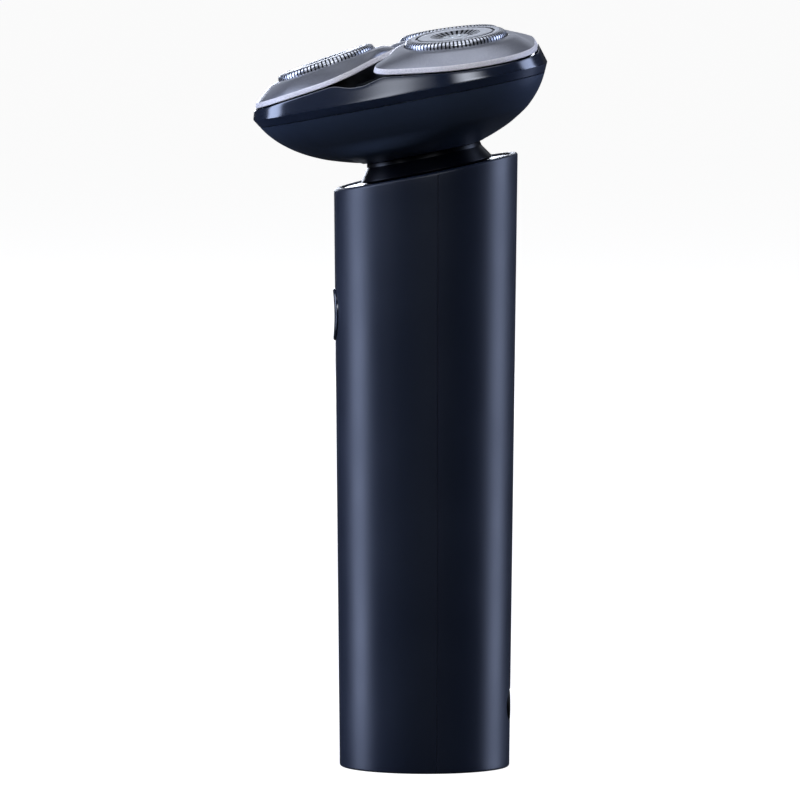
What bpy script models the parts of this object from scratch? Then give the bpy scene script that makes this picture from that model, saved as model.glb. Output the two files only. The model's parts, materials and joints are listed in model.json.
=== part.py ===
"""Three-head rotary shaver, modelled as an assembly.

All sizes below are in millimetres and become metres when a mesh is made.
The handle stands on z = 0 with the button towards -Y and the charging port towards +Y.
The head has a frame of its own: it is tilted forward about X, its origin is the point
where the axis of the three cutters crosses the plane of the head's rim, its y runs
towards the back along the rim and its z is the axis of the cutters.
"""

import math

import bmesh
import bpy
from mathutils import Matrix, Vector

MM = 0.001

# ---------------------------------------------------------------- handle
TOP_HEIGHT = 124.0          # height of the slanted top at the handle's axis
TILT = math.radians(11.5)   # slant of the handle's top and of the whole head
BASE_HALF_DEPTH = 17.7      # half the handle from front to back, at the base
TOP_HALF_DEPTH = 19.1       # the same, at the top
WIDTH_RATIO = 1.05          # the handle is this much wider than it is deep
WALL = 1.2
FLOOR = 2.0
FOOT_BEVEL = 0.4
SEAM_Y = 1.7                # plane where the front and the rear shell meet
GAP = 0.3                   # clearance between neighbouring pieces

BUTTON_Z = 94.3
BUTTON_HALF_WIDTH = 4.3
BUTTON_HALF_HEIGHT = 5.4
BUTTON_PROUD = 0.4
BUTTON_FLANGE = 1.1

PORT_Z = 12.9
PORT_HALF_WIDTH = 6.0
PORT_HALF_HEIGHT = 3.3
SOCKET_HALF_WIDTH = 4.47
SOCKET_HALF_HEIGHT = 1.58
SOCKET_WALL = 0.3

BATTERY_RADIUS = 9.1
BATTERY_LENGTH = 50.0
BATTERY_Z = 24.0
BATTERY_Y = 3.5

SPINE_FRONT = -8.6
SPINE_BACK = -7.0
SPINE_HALF_WIDTH = 12.5
BULKHEAD_TOP = 5.0          # bulkhead: depths under the slanted rim
BULKHEAD_LOW = 7.0
SHELF = 1.5                 # thickness of the battery shelves
SHELF_HALF_WIDTH = 9.0
SHELF_BACK = 12.0
BOARD_FRONT = -11.2
BOARD_BACK = -10.0
BOARD_LOW = 60.0
BOARD_HIGH = 107.0
BOARD_HALF_WIDTH = 10.0
BOARD_SCREW_HEIGHTS = (66.0, 102.0)
BOARD_HOLE = 0.9

SCREW_THREAD = 0.7          # the small screws: radii of thread, clearance hole and head
SCREW_HOLE = 1.0
SCREW_HEAD = 1.5
MOTOR_SCREW_OUT = 6.0       # the motor's screws, either side of its axis
SHAFT_RADIUS = 1.0

# ---------------------------------------------------------------- head, in its own frame
HEAD_ORIGIN = Vector((0.0, -1.56, 141.7))
CORNER = 35.0               # from the axis to the rim at the middle of a petal
SIDE = 27.2                 # from the axis to the rim midway between two petals
CORNER_ARC = 17.1           # radius of the rim's corners
PETAL_ANGLES = (-90.0, 30.0, 150.0)
GAP_ANGLES = (-30.0, 90.0, 210.0)

NECK_HOLE = 7.75            # hole in the handle's top plate for the neck's spigot
NECK_Y = -1.8               # the neck stands on the middle of the handle's top
PIVOT_Z = -11.6             # where the gimbal's two axes cross
PIVOT = Vector((0.0, 0.0, PIVOT_Z))
PIN_RADIUS = 0.5
PIN_HOLE = 0.8
GIMBAL_INNER = 6.4
GIMBAL_OUTER = 8.0

# Bowl: height under the rim and size against the rim's outline.
BOWL_PROFILE = (
    (-1.9, 0.968), (-3.6, 0.934), (-5.6, 0.882), (-7.6, 0.813),
    (-9.4, 0.735), (-11.0, 0.637), (-12.2, 0.535), (-13.1, 0.435),
)
BOWL_WALL = 0.056           # wall, as a share of the outline
BOWL_MOUTH = 12.5           # radius of the opening round the neck
BOWL_BOTTOM = -13.5

COVER_LOW = -1.6
COVER_LEAN = math.tan(math.radians(16.0))
COVER_INNER = 0.90
RIB_REACH = 23.8            # ribs on the cutter holder, under the gaps between the petals
RIB_HALF_WIDTH = 1.4
RIB_TOP = 4.6
RIB_FALL = 0.05             # the ribs' tops fall this much for each millimetre outwards

GEAR_MODULE = 0.9
GEAR_TEETH = 19
GEAR_LOW = -7.1
GEAR_HIGH = -5.3
GEAR_CENTRE = GEAR_MODULE * GEAR_TEETH
GEAR_BORE = 1.8
SPINDLE_RADIUS = 1.5
PILLAR_OUT = 15.0           # pillars between the gearbox's two decks

CANT = math.radians(8.0)    # outward lean of each petal
PETAL_OUT = 17.28           # petal frame: distance from the head's axis
PETAL_UP = 4.2              # petal frame: height over the rim
PETAL_LIP = 34.5            # reach of the lip from the head's axis
PETAL_SPLIT = 0.9           # gap between two petals
PETAL_ROUNDING = 3.5        # how sharply the rim and the two splits meet
PETAL_CURL = 1.15           # rise of the lip at the petal's inner end, over its own plane
CURL_FROM = 21.0            # the rise starts this far from the head's axis
CURL_LENGTH = 18.0
PETAL_HINGE = Vector((13.7, 0.0, 0.5))      # a petal tilts about this point of its frame
PETAL_SHOULDER = 12.6
PETAL_BORE = 10.85
CAP_RADIUS = 10.5
CAP_TOP = 4.75
BLADE_RADIUS = 9.3
BLADE_TEETH = 12


# ---------------------------------------------------------------- materials

def material(name, colour, roughness, metallic=0.0):
    made = bpy.data.materials.new(name)
    made.use_nodes = True
    made.diffuse_color = (*colour, 1.0)
    shader = made.node_tree.nodes["Principled BSDF"]
    shader.inputs["Base Color"].default_value = (*colour, 1.0)
    shader.inputs["Roughness"].default_value = roughness
    shader.inputs["Metallic"].default_value = metallic
    return made


def make_materials():
    return {
        "navy_satin": material("navy_satin", (0.012, 0.019, 0.036), 0.45),
        "navy_gloss": material("navy_gloss", (0.006, 0.010, 0.020), 0.08),
        "dark_plastic": material("dark_plastic", (0.010, 0.012, 0.018), 0.5),
        "inner_plastic": material("inner_plastic", (0.10, 0.11, 0.12), 0.6),
        "gear_plastic": material("gear_plastic", (0.72, 0.71, 0.67), 0.45),
        "petal_paint": material("petal_paint", (0.30, 0.29, 0.31), 0.35, 0.6),
        "cutter_steel": material("cutter_steel", (0.58, 0.58, 0.60), 0.25, 1.0),
        "machine_steel": material("machine_steel", (0.50, 0.50, 0.52), 0.3, 1.0),
        "cell_wrap": material("cell_wrap", (0.03, 0.16, 0.30), 0.4),
        "board_green": material("board_green", (0.02, 0.12, 0.05), 0.5),
        "seal_rubber": material("seal_rubber", (0.02, 0.02, 0.02), 0.8),
    }


# ---------------------------------------------------------------- mesh helpers

class Workshop:
    """Keeps the materials and places each new piece in its frame."""

    def __init__(self):
        self.materials = make_materials()
        self.frames = {}

    def frame(self, name, matrix, parent=None):
        empty = bpy.data.objects.new(name, None)
        empty.empty_display_size = 0.01
        bpy.context.collection.objects.link(empty)
        empty.parent = self.frames.get(parent)
        empty.matrix_local = matrix
        self.frames[name] = empty
        return empty

    def piece(self, name, shape, finish, frame, origin=(0.0, 0.0, 0.0), smooth=True):
        verts, faces = shape
        origin = Vector(origin)
        mesh = bpy.data.meshes.new(name)
        mesh.from_pydata([(Vector(v) - origin) * MM for v in verts], [], faces)
        work = bmesh.new()
        work.from_mesh(mesh)
        bmesh.ops.recalc_face_normals(work, faces=work.faces)
        work.to_mesh(mesh)
        work.free()
        if smooth:
            mesh.shade_smooth()
            mesh.set_sharp_from_angle(angle=math.radians(35.0))
        mesh.materials.append(self.materials[finish])
        made = bpy.data.objects.new(name, mesh)
        bpy.context.collection.objects.link(made)
        made.parent = self.frames[frame]
        made.location = origin * MM
        return made

    def tool(self, name, shape, frame):
        made = self.piece(name, shape, "dark_plastic", frame, smooth=False)
        made.hide_render = True
        made.display_type = "WIRE"
        return made

    def combine(self, target, operation, *shapes):
        """Cut from, or add to, a piece the given shapes, which lie in its own frame."""
        for number, shape in enumerate(shapes, 1):
            name = f"{target.name}_{operation.lower()}_{len(target.modifiers) + 1}_{number}"
            helper = self.tool(name, shape, target.parent.name)
            step = target.modifiers.new(name, "BOOLEAN")
            step.operation = operation
            step.solver = "EXACT"
            step.object = helper


def cut(shop, target, *shapes):
    shop.combine(target, "DIFFERENCE", *shapes)


def add(shop, target, *shapes):
    shop.combine(target, "UNION", *shapes)


def loft(loops, closed=False):
    """Skin between loops of equal length: capped at both ends, or closed like a tyre."""
    count = len(loops[0])
    verts = [point for loop in loops for point in loop]
    faces = []
    spans = len(loops) if closed else len(loops) - 1
    for level in range(spans):
        low = level * count
        high = ((level + 1) % len(loops)) * count
        for step in range(count):
            after = (step + 1) % count
            faces.append((low + step, low + after, high + after, high + step))
    if not closed:
        faces.append(tuple(range(count - 1, -1, -1)))
        faces.append(tuple(range(len(verts) - count, len(verts))))
    return verts, faces


def circle(radius, height, count=32, centre=(0.0, 0.0), start=0.0):
    return [
        (centre[0] + radius * math.cos(start + math.tau * i / count),
         centre[1] + radius * math.sin(start + math.tau * i / count), height)
        for i in range(count)
    ]


def turned(profile, count=32, centre=(0.0, 0.0), closed=False, start=0.0):
    """Solid of revolution about z from (radius, height) points."""
    return loft([circle(r, z, count, centre, start) for r, z in profile], closed)


def along(shape, axis):
    """Turn a shape whose length runs along z so that it runs along x, y or -y."""
    turn = {
        "x": Matrix.Rotation(math.radians(90.0), 3, "Y"),
        "y": Matrix.Rotation(math.radians(-90.0), 3, "X"),
    }[axis]
    return [tuple(turn @ Vector(v)) for v in shape[0]], shape[1]


def moved(shape, offset):
    offset = Vector(offset)
    return [tuple(Vector(v) + offset) for v in shape[0]], shape[1]


def box(low, high):
    (x0, y0, z0), (x1, y1, z1) = low, high
    lower = [(x0, y0, z0), (x1, y0, z0), (x1, y1, z0), (x0, y1, z0)]
    upper = [(x, y, z1) for x, y, _ in lower]
    return loft([lower, upper])


def pill(half_width, half_height, depth, count=12):
    """Outline with two round ends, in x and z, at one depth along y."""
    reach = half_width - half_height
    points = []
    for side, first in ((1.0, -90.0), (-1.0, 90.0)):
        for i in range(count + 1):
            angle = math.radians(first + 180.0 * i / count)
            x = side * reach + half_height * math.cos(angle)
            points.append((x, depth, half_height * math.sin(angle)))
    return points


def pill_bar(half_width, half_height, front, back, height, count=8):
    loops = [pill(half_width, half_height, depth, count) for depth in (front, back)]
    return moved(loft(loops), (0.0, 0.0, height))


def oval(half_width, half_height, depth, height, count=32):
    return [
        (half_width * math.cos(math.tau * i / count), depth,
         height + half_height * math.sin(math.tau * i / count))
        for i in range(count)
    ]


# ---------------------------------------------------------------- outlines

def handle_half_depth(z):
    return BASE_HALF_DEPTH + (TOP_HALF_DEPTH - BASE_HALF_DEPTH) * z / TOP_HEIGHT


def top_of_handle(y):
    return TOP_HEIGHT + y * math.tan(TILT)


def rim_radius(degrees):
    """Distance from the head's axis to its rim: three corner arcs and three side arcs."""
    away = abs((degrees - 30.0 + 60.0) % 120.0 - 60.0)
    corner_at = CORNER - CORNER_ARC
    # The side arc touches the corner arc and passes SIDE from the axis.
    spare = SIDE - CORNER_ARC
    side_at = (corner_at ** 2 - spare ** 2) / (2.0 * spare - corner_at)
    side_arc = side_at + SIDE
    corner = Vector((corner_at, 0.0))
    behind = Vector((-side_at * math.cos(math.radians(60.0)), -side_at * math.sin(math.radians(60.0))))
    touch = corner + (corner - behind).normalized() * CORNER_ARC
    if away < math.degrees(math.atan2(touch.y, touch.x)):
        angle = math.radians(away)
        return corner_at * math.cos(angle) + math.sqrt(
            CORNER_ARC ** 2 - (corner_at * math.sin(angle)) ** 2)
    angle = math.radians(60.0 - away)
    return -side_at * math.cos(angle) + math.sqrt(
        side_arc ** 2 - (side_at * math.sin(angle)) ** 2)


def rim_loop(scale, height, roundness=0.0, count=48):
    """The rim's outline at a scale; roundness 1 makes it the circle of the same depth."""
    middle = -(CORNER - SIDE) / 2.0 * scale
    radius = (CORNER + SIDE) / 2.0 * scale
    points = []
    for i in range(count):
        degrees = -90.0 + 360.0 * i / count
        angle = math.radians(degrees)
        far = rim_radius(degrees) * scale
        x = far * math.cos(angle) * (1.0 - roundness) + radius * math.cos(angle) * roundness
        y = far * math.sin(angle) * (1.0 - roundness) + (
            middle + radius * math.sin(angle)) * roundness
        z = height(degrees) if callable(height) else height
        points.append((x, y, z))
    return points


def smooth_step(value):
    value = min(max(value, 0.0), 1.0)
    return value * value * (3.0 - 2.0 * value)


def at_angle(distance, degrees):
    angle = math.radians(degrees)
    return distance * math.cos(angle), distance * math.sin(angle)


def gear_outline(count=GEAR_TEETH, phase=0.0):
    """Trapezoid teeth, thinned so that a pair in mesh runs with backlash."""
    pitch = GEAR_MODULE * count / 2.0
    tip = pitch + 0.85 * GEAR_MODULE
    root = pitch - 1.2 * GEAR_MODULE
    step = math.tau / count
    points = []
    for tooth in range(count):
        middle = phase + tooth * step
        for radius, part in ((root, -0.31), (tip, -0.11), (tip, 0.11), (root, 0.31)):
            points.append((radius, middle + part * step))
    return [(r * math.cos(a), r * math.sin(a)) for r, a in points]


def prism(outline, low, high, centre=(0.0, 0.0)):
    loops = [[(x + centre[0], y + centre[1], z) for x, y in outline] for z in (low, high)]
    return loft(loops)


# ---------------------------------------------------------------- handle pieces

def section_arc(z, inset, side, count=24):
    """Half of the handle's section on one side of the seam, from +X round to -X."""
    depth = handle_half_depth(z) - inset
    width = handle_half_depth(z) * WIDTH_RATIO - inset
    seam = SEAM_Y + side * GAP / 2.0
    first = math.asin(seam / depth)
    sweep = math.pi - 2.0 * first if side > 0 else math.pi + 2.0 * first
    points = []
    for i in range(count + 1):
        angle = first + side * sweep * i / count
        x = width * math.cos(angle)
        y = seam if i in (0, count) else depth * math.sin(angle)
        points.append((x, y, min(z, top_of_handle(y))))
    return points


def half_shell(side):
    """Half of the handle: a bent wall with its share of the floor, open at the top."""
    outer = [
        section_arc(0.0, FOOT_BEVEL, side),
        section_arc(FOOT_BEVEL, 0.0, side),
        section_arc(TOP_HEIGHT / 2.0, 0.0, side),
        slanted(section_arc(TOP_HEIGHT, 0.0, side)),
    ]
    inner = [
        section_arc(FLOOR, WALL, side),
        section_arc(TOP_HEIGHT / 2.0, WALL, side),
        slanted(section_arc(TOP_HEIGHT, WALL, side)),
    ]
    count = len(outer[0])
    verts = [p for loop in outer + inner for p in loop]
    start = [level * count for level in range(len(outer) + len(inner))]
    faces = []
    pairs = [(0, 1), (1, 2), (2, 3), (3, 6), (6, 5), (5, 4)]
    for low, high in pairs:
        for i in range(count - 1):
            a, b = start[low] + i, start[high] + i
            faces.append((a, a + 1, b + 1, b))
    faces.append(tuple(range(count)))
    faces.append(tuple(start[4] + i for i in range(count)))
    last = count - 1
    left = [start[level] for level in (0, 1, 2, 3, 6, 5, 4)]
    right = [start[level] + last for level in (4, 5, 6, 3, 2, 1, 0)]
    faces.append(tuple(left + right))
    return verts, faces


def slanted(loop, lower=0.0):
    return [(x, y, top_of_handle(y) - lower) for x, y, _ in loop]


def slanted_plate(inset, upper, lower, count=48):
    """Oval plate parallel to the slanted top, between two depths under it."""
    depth = TOP_HALF_DEPTH - inset
    width = TOP_HALF_DEPTH * WIDTH_RATIO - inset
    loop = [
        (width * math.cos(math.tau * i / count), depth * math.sin(math.tau * i / count), 0.0)
        for i in range(count)
    ]
    return loft([slanted(loop, lower), slanted(loop, upper)])


def in_world(shape):
    """A shape given in the head's frame, moved into the handle's frame."""
    turn = Matrix.Rotation(TILT, 3, "X")
    return [tuple(turn @ Vector(v) + HEAD_ORIGIN) for v in shape[0]], shape[1]


def make_shells(shop):
    front = shop.piece("front_shell", half_shell(-1.0), "navy_satin", "handle_frame")
    loops = [
        oval(BUTTON_HALF_WIDTH + GAP, BUTTON_HALF_HEIGHT + GAP, depth, BUTTON_Z)
        for depth in (-TOP_HALF_DEPTH - 2.0, -12.0)
    ]
    cut(shop, front, loft(loops))
    rear = shop.piece("rear_shell", half_shell(1.0), "navy_satin", "handle_frame")
    cut(shop, rear, pill_bar(PORT_HALF_WIDTH, PORT_HALF_HEIGHT, 12.0, 20.0, PORT_Z, 10))


def make_top_plate(shop):
    """Oval plate just under the rim, with a round hole for the neck's spigot."""
    plate = slanted_plate(WALL + GAP + 0.05, 0.4, 2.0)
    plate = shop.piece("top_plate", plate, "navy_gloss", "handle_frame")
    cut(shop, plate, in_world(turned([(NECK_HOLE, -25.0), (NECK_HOLE, -14.0)], 40, (0.0, NECK_Y))))


def make_inner_frame(shop):
    """Chassis: a slanted bulkhead, a spine down to the floor and two battery shelves."""
    frame = slanted_plate(WALL + GAP + 0.15, BULKHEAD_TOP, BULKHEAD_LOW)
    frame = shop.piece("inner_frame", frame, "inner_plastic", "handle_frame", smooth=False)
    half = SPINE_HALF_WIDTH
    spine_top = TOP_HEIGHT - BULKHEAD_LOW - 0.6
    add(shop, frame, box((-half, SPINE_FRONT, FLOOR + GAP), (half, SPINE_BACK, spine_top)))
    for low in (BATTERY_Z - GAP - SHELF, BATTERY_Z + BATTERY_LENGTH + GAP):
        add(shop, frame, box((-SHELF_HALF_WIDTH, SPINE_BACK - 0.5, low),
                             (SHELF_HALF_WIDTH, SHELF_BACK, low + SHELF)))
    cut(shop, frame, in_world(turned([(4.6, -26.0), (4.6, -20.0)], 24)))
    for side in (-1.0, 1.0):
        hole = [(SCREW_HOLE, -26.0), (SCREW_HOLE, -20.0)]
        cut(shop, frame, in_world(turned(hole, 12, (side * MOTOR_SCREW_OUT, 0.0))))
    for z in BOARD_SCREW_HEIGHTS:
        hole = along(turned([(BOARD_HOLE, -1.5), (BOARD_HOLE, 1.5)], 12), "y")
        cut(shop, frame, moved(hole, (0.0, (SPINE_FRONT + SPINE_BACK) / 2.0, z)))


def make_motor(shop):
    """Motor on the cutters' axis, hung under the bulkhead by two screws."""
    can = turned([(7.4, -46.9), (8.0, -46.3), (8.0, -25.4), (7.5, -24.9),
                  (3.0, -24.9), (3.0, -23.2)], 28)
    motor = shop.piece("drive_motor", can, "machine_steel", "head_frame")
    cut(shop, motor, turned([(SHAFT_RADIUS + GAP, -31.0), (SHAFT_RADIUS + GAP, -22.0)], 16))
    for number, side in enumerate((-1.0, 1.0), 1):
        at = (side * MOTOR_SCREW_OUT, 0.0)
        cut(shop, motor, turned([(SCREW_HOLE, -27.2), (SCREW_HOLE, -24.0)], 12, at))
        screw = turned([(SCREW_THREAD, -26.6), (SCREW_THREAD, -22.2),
                        (SCREW_HEAD, -22.2), (SCREW_HEAD, -21.6)], 12, at)
        shop.piece(f"motor_screw_{number}", screw, "machine_steel", "head_frame")
    cap = turned([(6.2, -49.4), (7.0, -48.9), (7.0, -47.2)], 24)
    shop.piece("motor_cap", cap, "inner_plastic", "head_frame")
    seal = turned([(3.0, -22.8), (4.3, -22.8), (4.3, -21.7), (3.0, -21.7)], 24, closed=True)
    shop.piece("shaft_seal", seal, "seal_rubber", "head_frame")


def make_drive_shaft(shop):
    """Hexagonal dog on the motor's shaft, which reaches up into the socket in the head."""
    shaft = turned([(SHAFT_RADIUS, -30.6), (SHAFT_RADIUS, -20.6)], 12)
    shop.piece("motor_shaft", shaft, "machine_steel", "head_frame")
    bar = turned([(2.6, -22.9), (2.6, -18.6), (1.8, -18.0), (1.8, -10.9), (1.3, -10.4)], 6)
    dog = shop.piece("drive_dog", bar, "machine_steel", "head_frame", smooth=False)
    cut(shop, dog, turned([(SHAFT_RADIUS + GAP, -24.0), (SHAFT_RADIUS + GAP, -20.2)], 12))


def make_power_pack(shop):
    """Round cell on its shelves, and the circuit board screwed to the spine's front."""
    low, high = BATTERY_Z, BATTERY_Z + BATTERY_LENGTH
    wide = BATTERY_RADIUS
    cell = turned([(wide - 0.5, low), (wide, low + 0.6), (wide, high - 1.6),
                   (wide - 0.4, high - 1.2), (3.0, high - 1.2), (3.0, high)], 24, (0.0, BATTERY_Y))
    shop.piece("battery_cell", cell, "cell_wrap", "handle_frame")
    half = BOARD_HALF_WIDTH
    board = box((-half, BOARD_FRONT, BOARD_LOW), (half, BOARD_BACK, BOARD_HIGH))
    board = shop.piece("main_board", board, "board_green", "handle_frame", smooth=False)
    for number, z in enumerate(BOARD_SCREW_HEIGHTS, 1):
        hole = along(turned([(BOARD_HOLE, -1.5), (BOARD_HOLE, 1.5)], 12), "y")
        cut(shop, board, moved(hole, (0.0, (BOARD_FRONT + BOARD_BACK) / 2.0, z)))
        seat = BOARD_FRONT - GAP
        screw = turned([(SCREW_HEAD, seat - 0.8), (SCREW_HEAD, seat), (0.6, seat), (0.6, -6.5)], 12)
        shop.piece(f"board_screw_{number}", moved(along(screw, "y"), (0.0, 0.0, z)),
                   "machine_steel", "handle_frame")


def make_button(shop):
    """Oval button: it slides inward on its own axis, against a membrane and a switch."""
    face = -handle_half_depth(BUTTON_Z) - BUTTON_PROUD
    stop = -16.3
    wide, high = BUTTON_HALF_WIDTH, BUTTON_HALF_HEIGHT
    lip = BUTTON_FLANGE
    sections = [(wide + lip, high + lip, stop + 0.8), (wide + lip, high + lip, stop),
                (wide, high, stop), (wide, high, face + 0.3), (wide - 0.3, high - 0.3, face)]
    loops = [oval(w, h, depth, BUTTON_Z, 28) for w, h, depth in sections]
    loops.append(oval(wide * 0.5, high * 0.5, face + 0.25, BUTTON_Z, 28))
    shop.piece("power_button", loft(loops), "navy_gloss", "button_frame",
               origin=(0.0, 0.0, BUTTON_Z))
    membrane = [oval(6.0, 7.0, depth, BUTTON_Z, 20) for depth in (-14.2, -13.7)]
    shop.piece("button_seal", loft(membrane), "seal_rubber", "handle_frame")
    switch = box((-3.0, -13.4, BUTTON_Z - 3.0), (3.0, -11.5, BUTTON_Z + 3.0))
    shop.piece("power_switch", switch, "dark_plastic", "handle_frame", smooth=False)


def make_port(shop):
    """Charging inlet low on the back: bezel, socket shell, tongue and its small board."""
    bezel = pill_bar(PORT_HALF_WIDTH - GAP, PORT_HALF_HEIGHT - GAP, 14.2, 16.5, PORT_Z, 10)
    bezel = shop.piece("port_bezel", bezel, "dark_plastic", "handle_frame")
    pocket = pill_bar(PORT_HALF_WIDTH - 0.9, PORT_HALF_HEIGHT - 0.9, 15.1, 18.0, PORT_Z, 10)
    slot = pill_bar(SOCKET_HALF_WIDTH + GAP, SOCKET_HALF_HEIGHT + GAP, 13.0, 18.0, PORT_Z)
    cut(shop, bezel, pocket)
    cut(shop, bezel, slot)
    socket = pill_bar(SOCKET_HALF_WIDTH, SOCKET_HALF_HEIGHT, 8.0, 15.5, PORT_Z)
    socket = shop.piece("usb_socket", socket, "machine_steel", "handle_frame")
    cut(shop, socket, pill_bar(SOCKET_HALF_WIDTH - SOCKET_WALL,
                               SOCKET_HALF_HEIGHT - SOCKET_WALL, 8.4, 18.0, PORT_Z))
    tongue = box((-3.35, 8.7, PORT_Z - 0.35), (3.35, 14.9, PORT_Z + 0.35))
    shop.piece("usb_tongue", tongue, "dark_plastic", "handle_frame", smooth=False)
    under = PORT_Z - SOCKET_HALF_HEIGHT - GAP
    board = box((-8.0, 2.0, under - 1.0), (8.0, 13.6, under))
    shop.piece("charge_board", board, "board_green", "handle_frame", smooth=False)


# ---------------------------------------------------------------- head pieces

def make_neck(shop):
    """Cone that plugs into the handle and carries the gimbal between its two posts."""
    profile = [(5.6, -21.2), (7.4, -21.2), (7.4, -17.5), (12.9, -17.5), (13.3, -17.1),
               (11.7, -14.0), (10.2, -14.0), (10.2, -16.0), (5.6, -16.0)]
    cone = turned(profile, 40, (0.0, NECK_Y), closed=True)
    neck = shop.piece("neck_mount", cone, "dark_plastic", "head_frame")
    for side in (-1.0, 1.0):
        near, far = sorted((side * 8.5, side * 10.6))
        add(shop, neck, box((near, -1.6, -16.4), (far, 1.6, PIVOT_Z + 1.5)))
    cut(shop, neck, moved(along(turned([(PIN_HOLE, -14.0), (PIN_HOLE, 14.0)], 12), "x"),
                          (0.0, 0.0, PIVOT_Z)))


def make_gimbal(shop):
    """Ring with two pins across and two pins along: the head tilts both ways on it."""
    low, high = PIVOT_Z - 1.2, PIVOT_Z + 1.2
    ring = turned([(GIMBAL_INNER, low), (GIMBAL_OUTER, low), (GIMBAL_OUTER, high),
                   (GIMBAL_INNER, high)], 32, closed=True)
    ring = shop.piece("gimbal_ring", ring, "inner_plastic", "gimbal_frame",
                      PIVOT, smooth=False)
    bore = turned([(PIN_HOLE, -9.0), (PIN_HOLE, 9.0)], 12)
    cut(shop, ring, moved(along(bore, "x"), (0.0, 0.0, PIVOT_Z)))
    cut(shop, ring, moved(along(bore, "y"), (0.0, 0.0, PIVOT_Z)))
    number = 0
    for axis, reach in (("x", 10.2), ("y", 11.0)):
        for side in (-1.0, 1.0):
            number += 1
            near, far = sorted((side * 6.6, side * reach))
            pin = along(turned([(PIN_RADIUS, near), (PIN_RADIUS, far)], 10), axis)
            shop.piece(f"gimbal_pin_{number}", moved(pin, (0.0, 0.0, PIVOT_Z)),
                       "machine_steel", "gimbal_frame", PIVOT)


def bowl_roundness(z):
    """The bowl's outline turns from the rim's shape into the neck's circle."""
    return smooth_step((-8.0 - z) / 5.1)


def make_bowl(shop):
    """Thin bowl under the rim, with two lugs that take the gimbal's front and rear pins."""
    loops = [rim_loop(scale, z, bowl_roundness(z)) for z, scale in BOWL_PROFILE]
    mouth = circle(BOWL_MOUTH, BOWL_BOTTOM, 48, (0.0, NECK_Y), -math.pi / 2.0)
    inner_mouth = circle(BOWL_MOUTH, BOWL_BOTTOM + 0.8, 48, (0.0, NECK_Y), -math.pi / 2.0)
    loops += [mouth, inner_mouth]
    for z, scale in reversed(BOWL_PROFILE[:-1]):
        loops.append(rim_loop(scale - BOWL_WALL, z, bowl_roundness(z)))
    bowl = shop.piece("head_bowl", loft(loops, closed=True), "navy_satin", "bowl_frame",
                      PIVOT)
    low, high = PIVOT_Z - 1.15, PIVOT_Z + 1.3
    add(shop, bowl, box((-2.0, -16.2, low), (2.0, -8.6, high)))
    add(shop, bowl, box((-2.0, 8.6, low), (2.0, 12.6, high)))
    hole = along(turned([(PIN_HOLE, -11.6), (PIN_HOLE, 11.6)], 12), "y")
    cut(shop, bowl, moved(hole, (0.0, 0.0, PIVOT_Z)))


def make_gearbox(shop):
    """Two decks in the bowl: the gears turn between them and three screws join them."""
    upper = shop.piece("gear_cover", loft([rim_loop(0.845, -4.1), rim_loop(0.845, -3.1)]),
                       "dark_plastic", "bowl_frame", PIVOT, smooth=False)
    lower = shop.piece("gear_deck", loft([rim_loop(0.66, -8.9, 0.2), rim_loop(0.66, -7.9, 0.2)]),
                       "inner_plastic", "bowl_frame", PIVOT, smooth=False)
    cut(shop, lower, turned([(3.8, -10.0), (3.8, -6.0)], 24))
    for degrees in PETAL_ANGLES:
        at = at_angle(GEAR_CENTRE, degrees)
        cut(shop, upper, turned([(SPINDLE_RADIUS + 0.4, -5.0), (SPINDLE_RADIUS + 0.4, -2.0)], 16, at))
        cut(shop, lower, turned([(1.35, -10.0), (1.35, -6.0)], 12, at))
    for number, degrees in enumerate(GAP_ANGLES, 1):
        at = at_angle(PILLAR_OUT, degrees)
        add(shop, lower, turned([(1.9, -8.4), (1.9, -4.4)], 16, at))
        cut(shop, lower, turned([(SCREW_HOLE, -7.4), (SCREW_HOLE, -3.0)], 12, at))
        cut(shop, upper, turned([(SCREW_HOLE, -5.0), (SCREW_HOLE, -2.0)], 12, at))
        screw = turned([(SCREW_THREAD, -6.9), (SCREW_THREAD, -2.8),
                        (SCREW_HEAD, -2.8), (SCREW_HEAD, -2.2)], 12, at)
        shop.piece(f"deck_screw_{number}", screw, "machine_steel", "bowl_frame", PIVOT)


def make_gears(shop):
    """A centre gear on the motor's dog drives three gears, one under each cutter."""
    centre = shop.piece("centre_gear", prism(gear_outline(), GEAR_LOW, GEAR_HIGH),
                        "gear_plastic", "bowl_frame", smooth=False)
    cut(shop, centre, turned([(GEAR_BORE, -9.0), (GEAR_BORE, -4.0)], 16))
    hub = turned([(3.4, -13.0), (3.4, -7.6), (1.5, -7.6), (1.5, -4.6)], 20)
    hub = shop.piece("drive_socket", hub, "gear_plastic", "bowl_frame")
    cut(shop, hub, turned([(2.5, -14.0), (2.5, -9.3)], 20))
    for number, degrees in enumerate(PETAL_ANGLES, 1):
        at = at_angle(GEAR_CENTRE, degrees)
        # Half a tooth of phase puts a tooth of one gear in a gap of the other.
        facing = math.radians(degrees)
        slip = (facing * GEAR_TEETH / math.tau) % 1.0
        phase = facing + math.pi + (0.5 + slip) * math.tau / GEAR_TEETH
        gear = prism(gear_outline(phase=phase), GEAR_LOW, GEAR_HIGH, at)
        gear = shop.piece(f"cutter_gear_{number}", gear, "gear_plastic", "bowl_frame",
                          (*at, 0.0), smooth=False)
        cut(shop, gear, turned([(GEAR_BORE, -9.0), (GEAR_BORE, -4.0)], 16, at))
        spindle = turned([(1.0, -8.8), (1.0, -7.6), (SPINDLE_RADIUS, -7.6),
                          (SPINDLE_RADIUS, 3.6), (1.0, 5.0)], 16, at)
        shop.piece(f"spindle_{number}", spindle, "machine_steel", "bowl_frame",
                   (*at, 0.0))


# ---------------------------------------------------------------- cover and petals

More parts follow.
